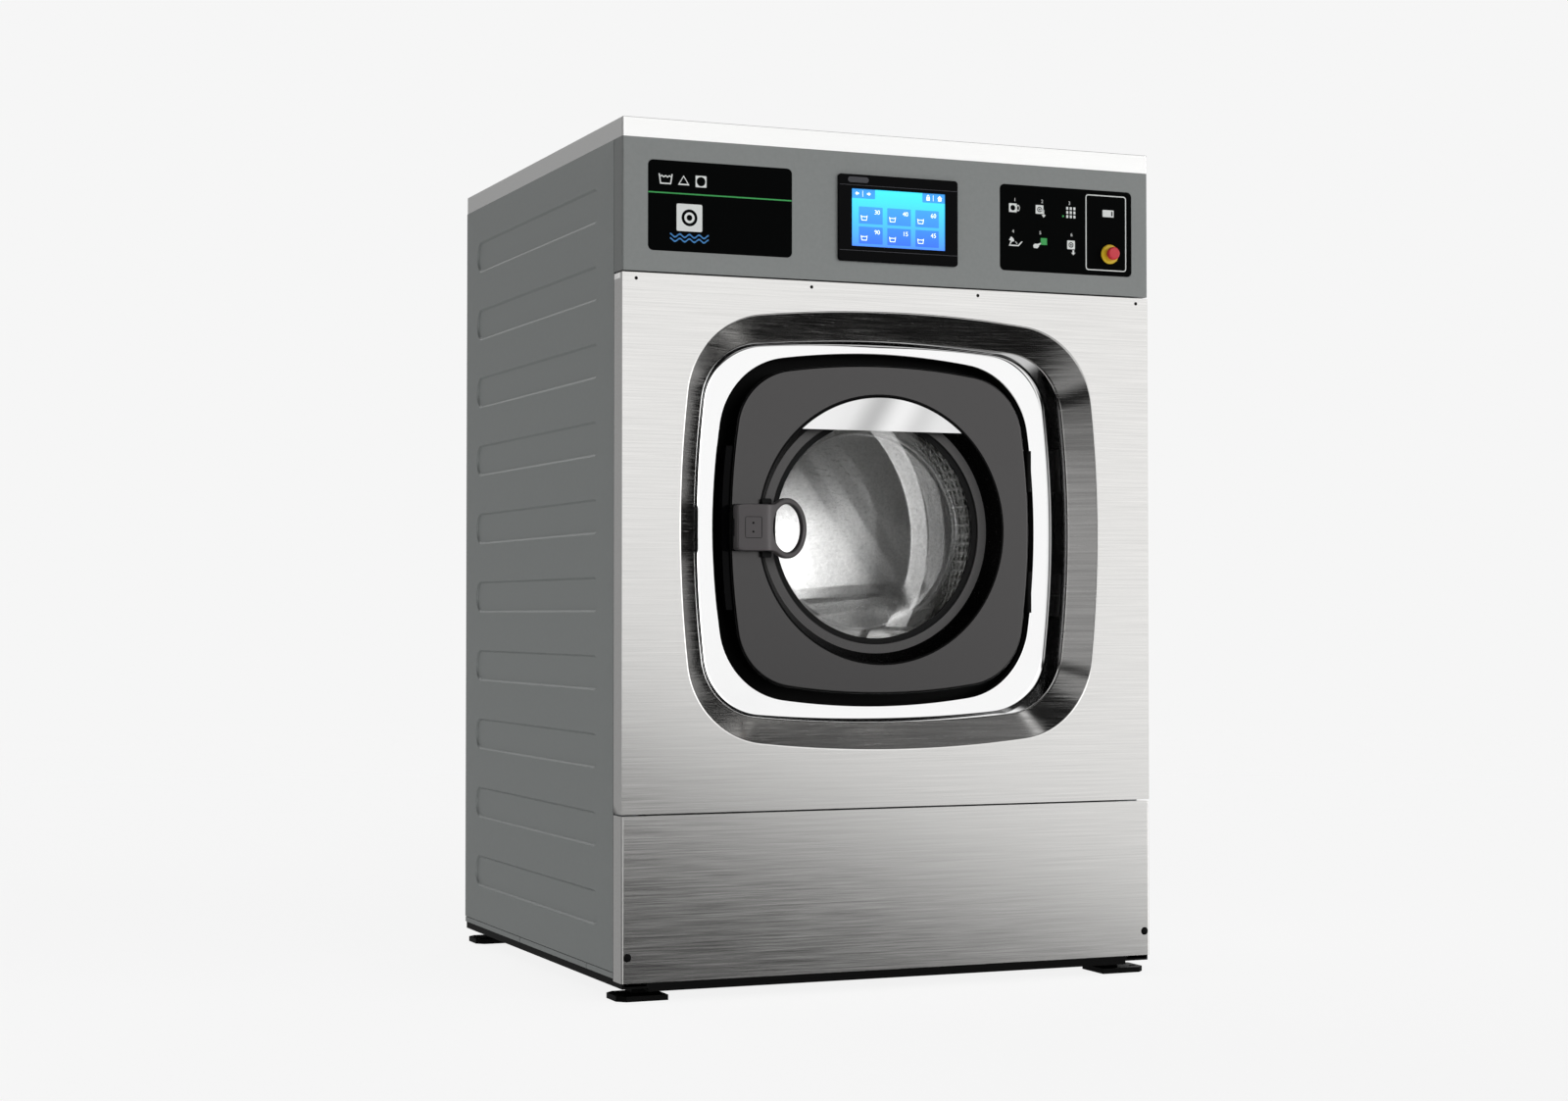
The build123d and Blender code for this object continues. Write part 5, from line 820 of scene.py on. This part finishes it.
class WASHER_OT_label(bpy.types.Operator):
    """Makes the marks of the left plate: a green stripe, common care signs and a plain picture of the machine"""

    bl_idname = "washer.label"
    bl_label = "Label plate marks"

    def execute(self, context):
        height = settings()[1].print_height
        flat = (-height, height)
        x, z, width = -282.8 * MM, 1151.8 * MM, 226.5 * MM
        stripe = bar(x, z + 18.6 * MM, width - 1 * MM, 1.9 * MM, 0.4 * MM, 2, *flat)
        make_piece("label_stripe", [stripe], "cabinet", "green_print")
        signs = wash_tub(x - 86 * MM, z + 38 * MM, 22 * MM, *flat)
        triangle = np.array([(-1, -0.75), (1, -0.75), (0, 0.85)])
        signs.append(frame_mark(*[
            triangle * share * 9 * MM + (x - 58 * MM, z + 38 * MM) for share in (1.0, 0.70)], *flat))
        square = round_rectangle(x - 31 * MM, z + 38 * MM, 17 * MM, 17 * MM, 1 * MM, 6)
        signs.append(frame_mark(square, circle(x - 31 * MM, z + 38 * MM, 6.8 * MM, 28), *flat))
        make_piece("label_signs", signs, "cabinet", "white_print")
        picture = machine_sign(x - 49 * MM, z - 16 * MM, 40 * MM, *flat, False)
        make_piece("label_picture", picture, "cabinet", "white_print")
        make_piece("label_wave", wave_band(x - 49 * MM, z - 46 * MM, 60 * MM, *flat), "cabinet", "blue_print")
        return {"FINISHED"}


def wave_band(x, z, width, front, thickness):
    """Two wavy bands one over the other: a cosine of four periods along x, each 2.4 mm thick."""
    across = np.linspace(-0.5, 0.5, 65)
    wave = np.stack([x + across * width, z + 2.2 * MM * np.cos(across * 8 * pi)], -1)
    bands = []
    for lift in (-3.2 * MM, 3.2 * MM):
        low, high = wave + (0, lift - 1.2 * MM), wave + (0, lift + 1.2 * MM)
        bands.append(slab(np.concatenate([low, high[::-1]]), front, thickness))
    return bands


class WASHER_OT_guide(bpy.types.Operator):
    """Makes the marks of the right plate: six numbered steps, the outline round the stop button and the port"""

    bl_idname = "washer.guide"
    bl_label = "Guide plate marks"

    def execute(self, context):
        height = settings()[1].print_height
        flat = (-height, height)
        left, top, width, tall = 175.5 * MM, 1218 * MM, 231 * MM, 133 * MM

        def spot(across, down):
            return left + across * width, top - down * tall

        numbers = ((0.113, 0.176), (0.318, 0.176), (0.524, 0.176), (0.100, 0.543), (0.303, 0.543), (0.540, 0.543))
        marks = [numeral(str(step), *spot(*place), 5.2 * MM, *flat) for step, place in enumerate(numbers, 1)]
        x, z = spot(0.098, 0.270)
        marks += machine_sign(x, z, 13.5 * MM, *flat, True)
        x, z = spot(0.298, 0.270)
        marks += machine_sign(x, z, 13.5 * MM, *flat, False)
        push = np.array([(3, -5), (10, -5), (10, 5), (13.5, 5), (9, 10.5), (4.5, 5), (8, 5), (8, -3), (3, -3)])
        marks.append(slab(push * 0.8 * MM * (1, -1) + (x, z - 4 * MM), *flat))
        for row in range(3):
            for column in range(3):
                x, z = spot(0.508 + 0.027 * column, 0.235 + 0.048 * row)
                marks.append(bar(x, z, 3.6 * MM, 4.4 * MM, 0.5 * MM, 2, *flat))
        x, z = spot(0.115, 0.675)
        tray = np.array([(-11, -5), (6, -5), (13, 2.5), (10.5, 2.5), (5, -3), (-9, -3), (-5, 2), (-8, 2)]) * MM
        bottle = np.array([(-11, 4), (-7, 9.5), (-3, 6.5), (-1.5, 3), (-3.2, 1.6), (-6, 2)]) * MM
        drops = [circle(x + 1.2 * MM, z + 1.2 * MM, 0.9 * MM, 8), circle(x + 3 * MM, z - 0.6 * MM, 0.9 * MM, 8)]
        marks += [slab(shape, *flat) for shape in (tray + (x, z), bottle + (x, z), *drops)]
        x, z = spot(0.275, 0.690)
        finger = np.array([(-5, -4), (1, -4.5), (4, -2), (4.2, 0), (9, 3.5), (8, 5), (2, 2.4), (-3, 2.6), (-6, 0)])
        marks.append(slab(finger * MM + (x, z), *flat))
        x, z = spot(0.536, 0.660)
        marks += machine_sign(x, z, 13.5 * MM, *flat, False)
        pull = np.array([(-2, -6.5), (-2, -12), (-5, -12), (0, -17), (5, -12), (2, -12), (2, -6.5)]) * 0.75 * MM
        marks.append(slab(pull + (x + 4 * MM, z - 3 * MM), *flat))

        outline = [
            round_rectangle(361 * MM, 1151.8 * MM, 72 * MM - grow, 118 * MM - grow, 5 * MM - grow / 2)
            for grow in (0, 3.2 * MM)
        ]
        marks.append(frame_mark(*outline, *flat))
        make_piece("guide_marks", marks, "cabinet", "white_print")
        start_key = bar(*spot(0.330, 0.640), 11 * MM, 10.5 * MM, 0.5 * MM, 2, *flat)
        lamp = slab(circle(*spot(0.476, 0.330), 1.6 * MM, 12), *flat)
        make_piece("guide_green", [start_key, lamp], "cabinet", "green_print")

        # Port: a pale frame round a dark slot, a little off centre
        port = round_rectangle(364.8 * MM, 1182.5 * MM, 19.6 * MM, 11 * MM, 1 * MM, 6)
        slot = round_rectangle(371.4 * MM, 1182.5 * MM, 2.6 * MM, 7 * MM, 0.5 * MM, 6)
        make_piece("port_frame", [frame_mark(port, slot, -0.8 * MM, 1.0 * MM)], "cabinet", "white_print")
        return {"FINISHED"}


class WASHER_OT_handle(bpy.types.Operator):
    """Makes the handle lever: a block that flows into a finger ring tilted towards the glass"""

    bl_idname = "washer.handle"
    bl_label = "Handle lever"

    def execute(self, context):
        # In a flat frame round the ring's centre, the outline at each turn is the softened larger of the ring's
        # radius and the block's reach, and the block's reach is the softened smaller of its end and its side.
        ring, hole, end, side = 45.4 * MM, 36 * MM, 96.4 * MM, 34.75 * MM
        count = 288
        turns = np.linspace(0, 2 * pi, count, endpoint=False)
        toward = np.clip(-np.cos(turns), 1e-3, 1)
        block = ((end / toward) ** -22 + (side / np.maximum(np.abs(np.sin(turns)), 1e-3)) ** -22) ** (-1 / 22)
        block = np.where(np.cos(turns) < 0, block, 0)
        outside = (ring**14 + block**14) ** (1 / 14)
        soft, back_soft = 2.6 * MM, 2.0 * MM
        bend = np.radians(np.linspace(0, 90, 6))
        share = np.linspace(0, 1, 15)[:, None]
        inset = soft * (1 - np.sin(bend))[:, None] + 0 * turns
        drop = soft * (1 - np.cos(bend))[:, None] + 0 * turns
        face = ((1 - share) * (hole + soft) + share * (outside - soft))[1:-1]
        radius = np.vstack([
            hole + inset[::-1], face, outside - inset, outside, outside - back_soft, np.full(count, hole + back_soft),
            np.full(count, hole),
        ])
        fall = np.vstack([drop[::-1], 0 * face, drop])

        # The flat frame bends about an upright line where the ring leaves the block
        reach = radius * np.cos(turns) + ring
        ease = 5 * MM
        past = (reach + np.sqrt(reach**2 + ease**2)) / 2
        tilt = radians(29.4)
        lean = tilt * (1 + reach / np.sqrt(reach**2 + ease**2)) / 2
        step = np.clip((reach + 10 * MM) / (16 * MM), 0, 1)
        thickness = 9 * MM + 11.9 * MM * (1 - step**2 * (3 - 2 * step))
        rows = len(fall)
        below = np.vstack([fall, thickness[rows:] - np.array([[back_soft], [0], [0], [back_soft]])])
        start_x, start_depth = -158 * MM - ring * cos(tilt), 40 * MM - ring * sin(tilt)
        x = start_x + (reach - past) + past * cos(tilt) - below * np.sin(lean)
        depth = start_depth + past * sin(tilt) + below * np.cos(lean)
        points = np.stack([x, FRONT + depth, DOOR_Z + radius * np.sin(turns)], -1)
        make_piece(
            "handle_body", [woven(points, around=True, along=True)], "handle", "handle", ("handle_lever",), even=True,
        )
        # A thin black frame round the cover: a dark joint line and painted shade of the cover's recess, with the two
        # screw heads.
        flat = (start_depth - 0.12 * MM, 0.3 * MM)
        cover = [
            round_rectangle(-223.5 * MM, DOOR_Z, 27 * MM - grow, 32 * MM - grow, 3 * MM - grow / 2)
            for grow in (0, 1.4 * MM)
        ]
        line = frame_mark(*cover, *flat)
        heads = [slab(circle(-224 * MM, DOOR_Z + up * 6.5 * MM, 1.7 * MM, 16), *flat) for up in (-1, 1)]
        make_piece("handle_cover_line", [line, *heads], "handle", "black")
        return {"FINISHED"}


DRUM_WALL, DRUM_FLANGE = 3 * MM, 26 * MM


class WASHER_OT_drum(bpy.types.Operator):
    """Makes the drum: a rolled front, a wall with rows of round holes and a rear band"""

    bl_idname = "washer.drum"
    bl_label = "Drum"

    def execute(self, context):
        sizes = settings()[1]
        inside, outside, mouth = 327 * MM, 330 * MM, 188 * MM
        first, last = 140 * MM, 486 * MM
        around = int(2 * pi * inside / sizes.hole_pitch)
        along = int((last - first) / sizes.hole_pitch)

        # Each cell of the wall: the eight points of its border joined to the eight corners of its hole
        ring = np.radians(np.arange(8) * 45)
        border = np.stack([np.cos(ring), np.sin(ring)], -1)
        border /= np.abs(border).max(axis=1, keepdims=True)
        pitch_along = (last - first) / along
        pitch_turn = 2 * pi / around
        hole = np.stack([np.cos(ring), np.sin(ring)], -1) * sizes.hole_size / 2
        cell = np.stack([border * (pitch_along / 2, pitch_turn / 2), hole / (1, inside)])
        row, column = np.meshgrid(np.arange(along), np.arange(around), indexing="ij")
        centres = np.stack([first + (row + 0.5) * pitch_along, column * pitch_turn], -1).reshape(-1, 1, 1, 2)
        flat = centres + cell
        depth, turn = flat[..., 0], flat[..., 1]
        points = np.stack([inside * np.cos(turn), FRONT + depth, DOOR_Z + inside * np.sin(turn)], -1)
        corner = np.arange(8)
        quads = np.stack([corner, (corner + 1) % 8, 8 + (corner + 1) % 8, 8 + corner], -1)
        faces = (quads + 16 * np.arange(len(flat))[:, None, None]).reshape(-1, 4)
        wall = make_piece(
            "drum_wall", [(points.reshape(-1, 3), faces.tolist())], "drum", "drum", ("drum_shell",), smooth=50,
            facing=lambda centre: Vector((-centre.x, 0, DOOR_Z - centre.z)),
        )
        thicken(wall, 1.2 * MM)
        lip = arc((118 * MM, mouth + 4 * MM), 4 * MM, 180, 360, 8)
        front = [(114 * MM, 318 * MM), *arc((126 * MM, 318 * MM), 12 * MM, 180, 90, 6), (first, outside)]
        back = [(first, inside), *arc((126 * MM, 318 * MM), 9 * MM, 90, 180, 6), (117 * MM, mouth + 12 * MM)]
        profile = [*front, *back, *lip[::-1]]
        band = [(last, outside), (500 * MM, outside), (500 * MM, inside), (last, inside)]
        make_piece(
            "drum_ends", [turned(shape, DOOR_Z, steps=144, closed_profile=True) for shape in (profile, band)], "drum",
            "drum",
        )
        return {"FINISHED"}


class WASHER_OT_drum_rear(bpy.types.Operator):
    """Makes the drum's pressed back: three sunk fields between a middle and a rim that stand forward"""

    bl_idname = "washer.drum_rear"
    bl_label = "Drum back"

    def execute(self, context):
        sizes = settings()[1]
        low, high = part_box("drum_back")
        rim, front = (high[0] - low[0]) / 2, low[1]
        sink = high[1] - low[1] - DRUM_WALL
        radius = np.linspace(0, rim, 132)[:, None]
        turn = np.linspace(0, 2 * pi, 300, endpoint=False)[None]
        x, z = radius * np.cos(turn), radius * np.sin(turn)

        # How far a point lies outside a field: the softened larger of its distances past the chord and the arc
        depth = np.zeros_like(x)
        for third in range(3):
            way = radians(35 + 120 * third)
            chord = sizes.field_chord - x * cos(way) - z * sin(way)
            arc_side = radius - sizes.field_reach + 0 * x
            soften = sizes.field_round / 2
            outside = soften * np.logaddexp(chord / soften, arc_side / soften)
            depth = np.maximum(depth, np.clip(-outside / sizes.field_slope, 0, 1))
        edge = np.clip((radius - rim + DRUM_FLANGE) / (DRUM_FLANGE - DRUM_WALL), 0, 1)
        depth = sink * np.maximum(depth, 1 - np.sqrt(1 - edge**2))
        points = np.stack([x, front + depth, DOOR_Z + z], -1)
        piece = make_piece(
            "drum_rear", [woven(points, around=True)], "drum", "drum", ("drum_back",), facing=TO_FRONT,
        )
        thicken(piece, DRUM_WALL)
        return {"FINISHED"}


SPRING_RADIUS, SPRING_LOW, SPRING_HIGH = 28.5 * MM, 85 * MM, 300 * MM
SPRING_X, SPRING_DEPTHS = 338 * MM, (190 * MM, 485 * MM)


class WASHER_OT_springs(bpy.types.Operator):
    """Makes the four coil springs round the struts; on the machine they shorten and lengthen as the tub moves"""

    bl_idname = "washer.springs"
    bl_label = "Springs"

    def execute(self, context):
        sizes = settings()[1]
        low, high, wire = SPRING_LOW, SPRING_HIGH, sizes.spring_wire
        turns = np.linspace(0, 2 * pi * sizes.spring_turns, 24 * sizes.spring_turns + 1)
        share = np.linspace(0, 1, len(turns))
        # The coil climbs at share - 0.6 sin(2 pi share) / (2 pi), so that its end turns lie closer together
        climb = share - np.sin(2 * pi * share) / (2 * pi) * 0.6
        rise = low + wire + climb * (high - low - 2 * wire)
        section = np.linspace(0, 2 * pi, 10, endpoint=False)
        reach = SPRING_RADIUS + wire * np.cos(section)[None]
        points = np.stack([
            reach * np.cos(turns)[:, None], reach * np.sin(turns)[:, None], rise[:, None] + wire * np.sin(section)
        ], -1)
        shells = []
        for x in (-SPRING_X, SPRING_X):
            for depth in SPRING_DEPTHS:
                coil, faces = woven(points + (x, FRONT + depth, 0), around=True)
                count = len(coil)
                ends = [list(range(10)), list(range(count - 1, count - 11, -1))]
                shells.append((coil, faces.tolist() + ends))
        piece = make_piece("coil_springs", shells, None, "bright", ("suspension_springs",))
        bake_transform(piece)
        return {"FINISHED"}


class WASHER_OT_bellows(bpy.types.Operator):
    """Makes the two rubber bellows between cabinet and tub; on the machine they give as the tub moves"""

    bl_idname = "washer.bellows"
    bl_label = "Bellows"

    def execute(self, context):
        # Outer radius = greatest radius - rib depth * (1 + cos(2 pi * rib)) / 2, and the bore follows one wall inside
        sizes = settings()[1]
        ribs = sizes.bellows_ribs
        share = np.linspace(0, 1, 16 * ribs + 1)
        valley = sizes.bellows_rib * (1 + np.cos(2 * pi * ribs * share)) / 2
        turns = np.linspace(0, 2 * pi, 72, endpoint=False)
        for node, below, above in (("drain_bellows", "cabinet", "tub"), ("fill_bellows", "tub", "cabinet")):
            low, high = (np.array(corner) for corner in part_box(node))
            middle = (low + high) / 2
            outside = (high - low)[0] / 2 - valley
            radius = np.concatenate([outside, outside[::-1] - sizes.bellows_wall])[:, None]
            rise = low[2] + (high - low)[2] * np.concatenate([share, share[::-1]])[:, None]
            points = np.stack([
                middle[0] + radius * np.cos(turns), middle[1] + radius * np.sin(turns), rise + 0 * turns
            ], -1)
            shells = [woven(points, around=True, along=True)]
            piece = make_piece(f"{node}_sleeve", shells, None, "rubber", (node,))
            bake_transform(piece)
        return {"FINISHED"}


class WASHER_OT_fasteners(bpy.types.Operator):
    """Makes the screws and plugs of the front panels: domed heads, the screws with a socket"""

    bl_idname = "washer.fasteners"
    bl_label = "Fasteners"

    def execute(self, context):
        # Profiles of (depth, radius) from the end of the shank to the middle of the head, then height, steps and places
        screw = [(8.0, 0.0), (8.0, 1.5), (0.0, 1.5), (0.0, 2.6), (-0.7, 2.3), (-1.15, 1.6), (-1.2, 1.15), (-0.5, 1.1),
                 (-0.45, 0.0)]
        plug = [(8.0, 0.0), (8.0, 2.4), (0.0, 2.4), (0.0, 5.8), (-0.5, 5.6), (-1.0, 4.6), (-1.2, 3.0), (-1.2, 0.0)]
        rows = ((screw, 1044, 24, (-413.8, -413.8 / 3, 413.8 / 3, 413.8)), (plug, 65, 32, (-426, 426)))
        shells = [
            turned(np.array(profile) * MM, z * MM, x * MM, steps=steps)
            for profile, z, steps, places in rows for x in places
        ]
        make_piece("screw_heads", shells, "cabinet", "black_coat", ("panel_fasteners",))
        return {"FINISHED"}


# Softboxes on the sky round a dark room: the brightness of each, and the edges between which it fades in, in shares
# of a direction to the side (right), back and up. The last one lights what mirrors it and not what scatters it.
SOFTBOXES = (
    # To the left, to the right, to the right in front, and beyond both sides
    (0.38, ("side", -0.60, -0.84), ("back", -0.05, -0.25), ("up", -0.10, -0.02), ("up", 0.30, 0.14)),
    (1.0, ("side", 0.60, 0.75), ("back", -0.05, -0.20), ("up", -0.25, -0.10), ("up", 0.35, 0.20)),
    (1.2, ("side", 0.62, 0.72), ("side", 0.92, 0.84), ("back", -0.40, -0.52), ("up", -0.10, 0.0), ("up", 0.55, 0.4)),
    (0.45, ("side", -0.90, -0.97)),
    (0.55, ("side", 0.90, 0.97)),
    # Overhead
    (0.17, ("up", 0.66, 0.80), ("side", 0.08, 0.20), ("side", 0.55, 0.35)),
    (0.7, ("up", 0.93, 0.96), ("side", 0.05, 0.12), ("side", 0.26, 0.18)),
    # Behind, low and high, and behind to the right
    (0.31, ("back", 0.55, 0.85), ("side", 0.25, 0.05), ("up", -0.35, -0.15)),
    (1.0, ("back", 0.55, 0.85), ("side", 0.25, 0.05), ("up", 0.24, 0.40)),
    (1.0, ("back", 0.60, 0.72), ("side", 0.38, 0.50)),
    # Low in front, and straight in front for mirrors alone
    (0.60, ("back", -0.42, -0.60), ("up", -0.30, -0.48)),
    (0.80, ("back", -0.84, -0.93), ("side", 0.19, 0.07), ("scattered", 1, 0)),
)
ROOM_LIGHT, FLOOR_GLOW, FLOOR_SHARE = 0.010, 0.94, 0.20
LAMP_SIZE, LAMP_SPREAD = 200 * MM, radians(76)
LAMP_PLACE = Vector((0.07, FRONT + 0.20, DOOR_Z - 0.045))
LAMP_TARGET = Vector((0.06, FRONT + 0.495, DOOR_Z - 0.02))
EYE_PLACE, EYE_TURN, EYE_LIFT = (-1.6789, -4.0085, 0.5572), radians(22.58), radians(1.396)


class WASHER_OT_stage(bpy.types.Operator):
    """Makes the pale floor, the studio light and the camera"""

    bl_idname = "washer.stage"
    bl_label = "Stage"

    def execute(self, context):
        stage = settings()[2]
        scene = context.scene
        tone = tuple(stage.floor_tone)

        # Floor: a wide disc that fades into the background
        turns = np.linspace(0, 2 * pi, 128, endpoint=False)
        reach = np.array([0.0, 1.0, 3.0, 8.0, 14.0])[:, None]
        disc = np.stack([reach * np.cos(turns), reach * np.sin(turns), np.zeros((5, 128))], -1)
        points, faces = woven(disc, around=True)
        mesh = bpy.data.meshes.new("floor")
        mesh.from_pydata(points.tolist(), [], faces.tolist())
        floor = bpy.data.objects.new("floor", mesh)
        scene.collection.objects.link(floor)
        floor.location = (0, 0, -0.0005)
        material, tree, shader = start("matt_paper_floor")
        tree.nodes.remove(shader)
        far = put(tree, "ShaderNodeVectorMath", {0: place_on_object(tree)}, operation="LENGTH").outputs["Value"]
        fade = mapped(tree, far, 2.5, 9.0, interpolation_type="SMOOTHSTEP")
        glow = put(tree, "ShaderNodeEmission", {"Color": tone, "Strength": FLOOR_GLOW})
        paper = put(tree, "ShaderNodeBsdfDiffuse", {"Color": shade(tone, FLOOR_SHARE)})
        lit = put(tree, "ShaderNodeAddShader", {0: glow.outputs[0], 1: paper.outputs[0]})
        open_air = put(tree, "ShaderNodeBsdfTransparent")
        both = put(tree, "ShaderNodeMixShader", {0: fade, 1: lit.outputs[0], 2: open_air.outputs[0]})
        tree.links.new(both.outputs[0], tree.nodes["Material Output"].inputs["Surface"])
        mesh.materials.append(material)
        floor.visible_glossy = False

        # Studio: the softboxes, and the one in front, whose lower edge slants down to the right
        world = bpy.data.worlds.new("studio")
        world.use_nodes = True
        scene.world = world
        tree = world.node_tree
        way = put(tree, "ShaderNodeSeparateXYZ", {0: put(tree, "ShaderNodeTexCoord").outputs["Generated"]})
        ray = put(tree, "ShaderNodeLightPath").outputs
        side, back, up = way.outputs
        ways = {
            "side": side, "back": back, "up": up, "slanted": worked_out(tree, "MULTIPLY_ADD", side, 0.40, up),
            "scattered": ray["Is Diffuse Ray"],
        }
        fading = worked_out(tree, "MULTIPLY", mapped(tree, side, 0.2, 0.6, 1.0, 0.97), stage.front_light)
        front_box = (fading, ("back", -0.42, -0.62), ("slanted", 0.050, 0.105), ("up", 0.78, 0.62))
        light = ROOM_LIGHT
        for brightness, *edges in (front_box, *SOFTBOXES):
            for name, first, last in edges:
                edge = mapped(tree, ways[name], first, last, interpolation_type="SMOOTHSTEP")
                brightness = worked_out(tree, "MULTIPLY", brightness, edge)
            light = worked_out(tree, "ADD", light, brightness)
        seen = put(tree, "ShaderNodeMix", {0: ray["Is Camera Ray"], 2: light, 3: 1.0})
        hue = put(tree, "ShaderNodeMix", {0: ray["Is Camera Ray"], 6: (1, 1, 1, 1), 7: tone}, data_type="RGBA")
        sky = tree.nodes["Background"]
        tree.links.new(hue.outputs[2], sky.inputs["Color"])
        tree.links.new(seen.outputs[0], sky.inputs["Strength"])

        # Fill light behind the glass, aimed at the drum's back, so that its pressing shows from outside
        lamp = bpy.data.lights.new("drum_fill", "AREA")
        lamp.energy, lamp.size, lamp.spread = stage.drum_light, LAMP_SIZE, LAMP_SPREAD
        bulb = bpy.data.objects.new("drum_fill", lamp)
        bulb.location = LAMP_PLACE
        bulb.rotation_mode = "QUATERNION"
        bulb.rotation_quaternion = (LAMP_TARGET - LAMP_PLACE).to_track_quat("-Z", "Y")
        bulb.visible_camera = bulb.visible_transmission = False
        scene.collection.objects.link(bulb)

        # Camera: at the viewing angle of the photograph
        camera = bpy.data.cameras.new("camera")
        camera.lens, camera.sensor_width, camera.sensor_fit = stage.lens, 36.0, "HORIZONTAL"
        eye = bpy.data.objects.new("camera", camera)
        scene.collection.objects.link(eye)
        look = Vector((sin(EYE_TURN) * cos(EYE_LIFT), cos(EYE_TURN) * cos(EYE_LIFT), sin(EYE_LIFT)))
        eye.rotation_mode = "QUATERNION"
        eye.rotation_quaternion = look.to_track_quat("-Z", "Y")
        eye.location = EYE_PLACE
        scene.camera = eye
        scene.view_settings.view_transform = "Standard"
        return {"FINISHED"}


class WASHER_PT_panel(bpy.types.Panel):
    """Lists the settings and the makers of the pieces"""

    bl_label = "Washer"
    bl_idname = "WASHER_PT_panel"
    bl_space_type = "VIEW_3D"
    bl_region_type = "UI"
    bl_category = "Washer"

    def draw(self, context):
        for group in settings():
            box = self.layout.box()
            for name in group.__annotations__:
                box.prop(group, name)
        for operator in OPERATORS:
            self.layout.operator(operator.bl_idname)


GROUPS = (WasherColours, WasherSizes, WasherStage)
OPERATORS = (
    WASHER_OT_finishes,
    WASHER_OT_door_panel,
    WASHER_OT_door_ring,
    WASHER_OT_side_panels,
    WASHER_OT_display,
    WASHER_OT_label,
    WASHER_OT_guide,
    WASHER_OT_handle,
    WASHER_OT_drum,
    WASHER_OT_drum_rear,
    WASHER_OT_springs,
    WASHER_OT_bellows,
    WASHER_OT_fasteners,
    WASHER_OT_stage,
)


def register():
    for group in GROUPS + OPERATORS + (WASHER_PT_panel,):
        bpy.utils.register_class(group)
    bpy.types.Scene.washer_colours = PointerProperty(type=WasherColours)
    bpy.types.Scene.washer_sizes = PointerProperty(type=WasherSizes)
    bpy.types.Scene.washer_stage = PointerProperty(type=WasherStage)


def unregister():
    del bpy.types.Scene.washer_colours, bpy.types.Scene.washer_sizes, bpy.types.Scene.washer_stage
    for group in reversed(GROUPS + OPERATORS + (WASHER_PT_panel,)):
        bpy.utils.unregister_class(group)


def main():
    """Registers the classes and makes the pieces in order."""
    register()
    for operator in OPERATORS:
        family, name = operator.bl_idname.split(".")
        getattr(getattr(bpy.ops, family), name)()


if __name__ == "__main__":
    main()
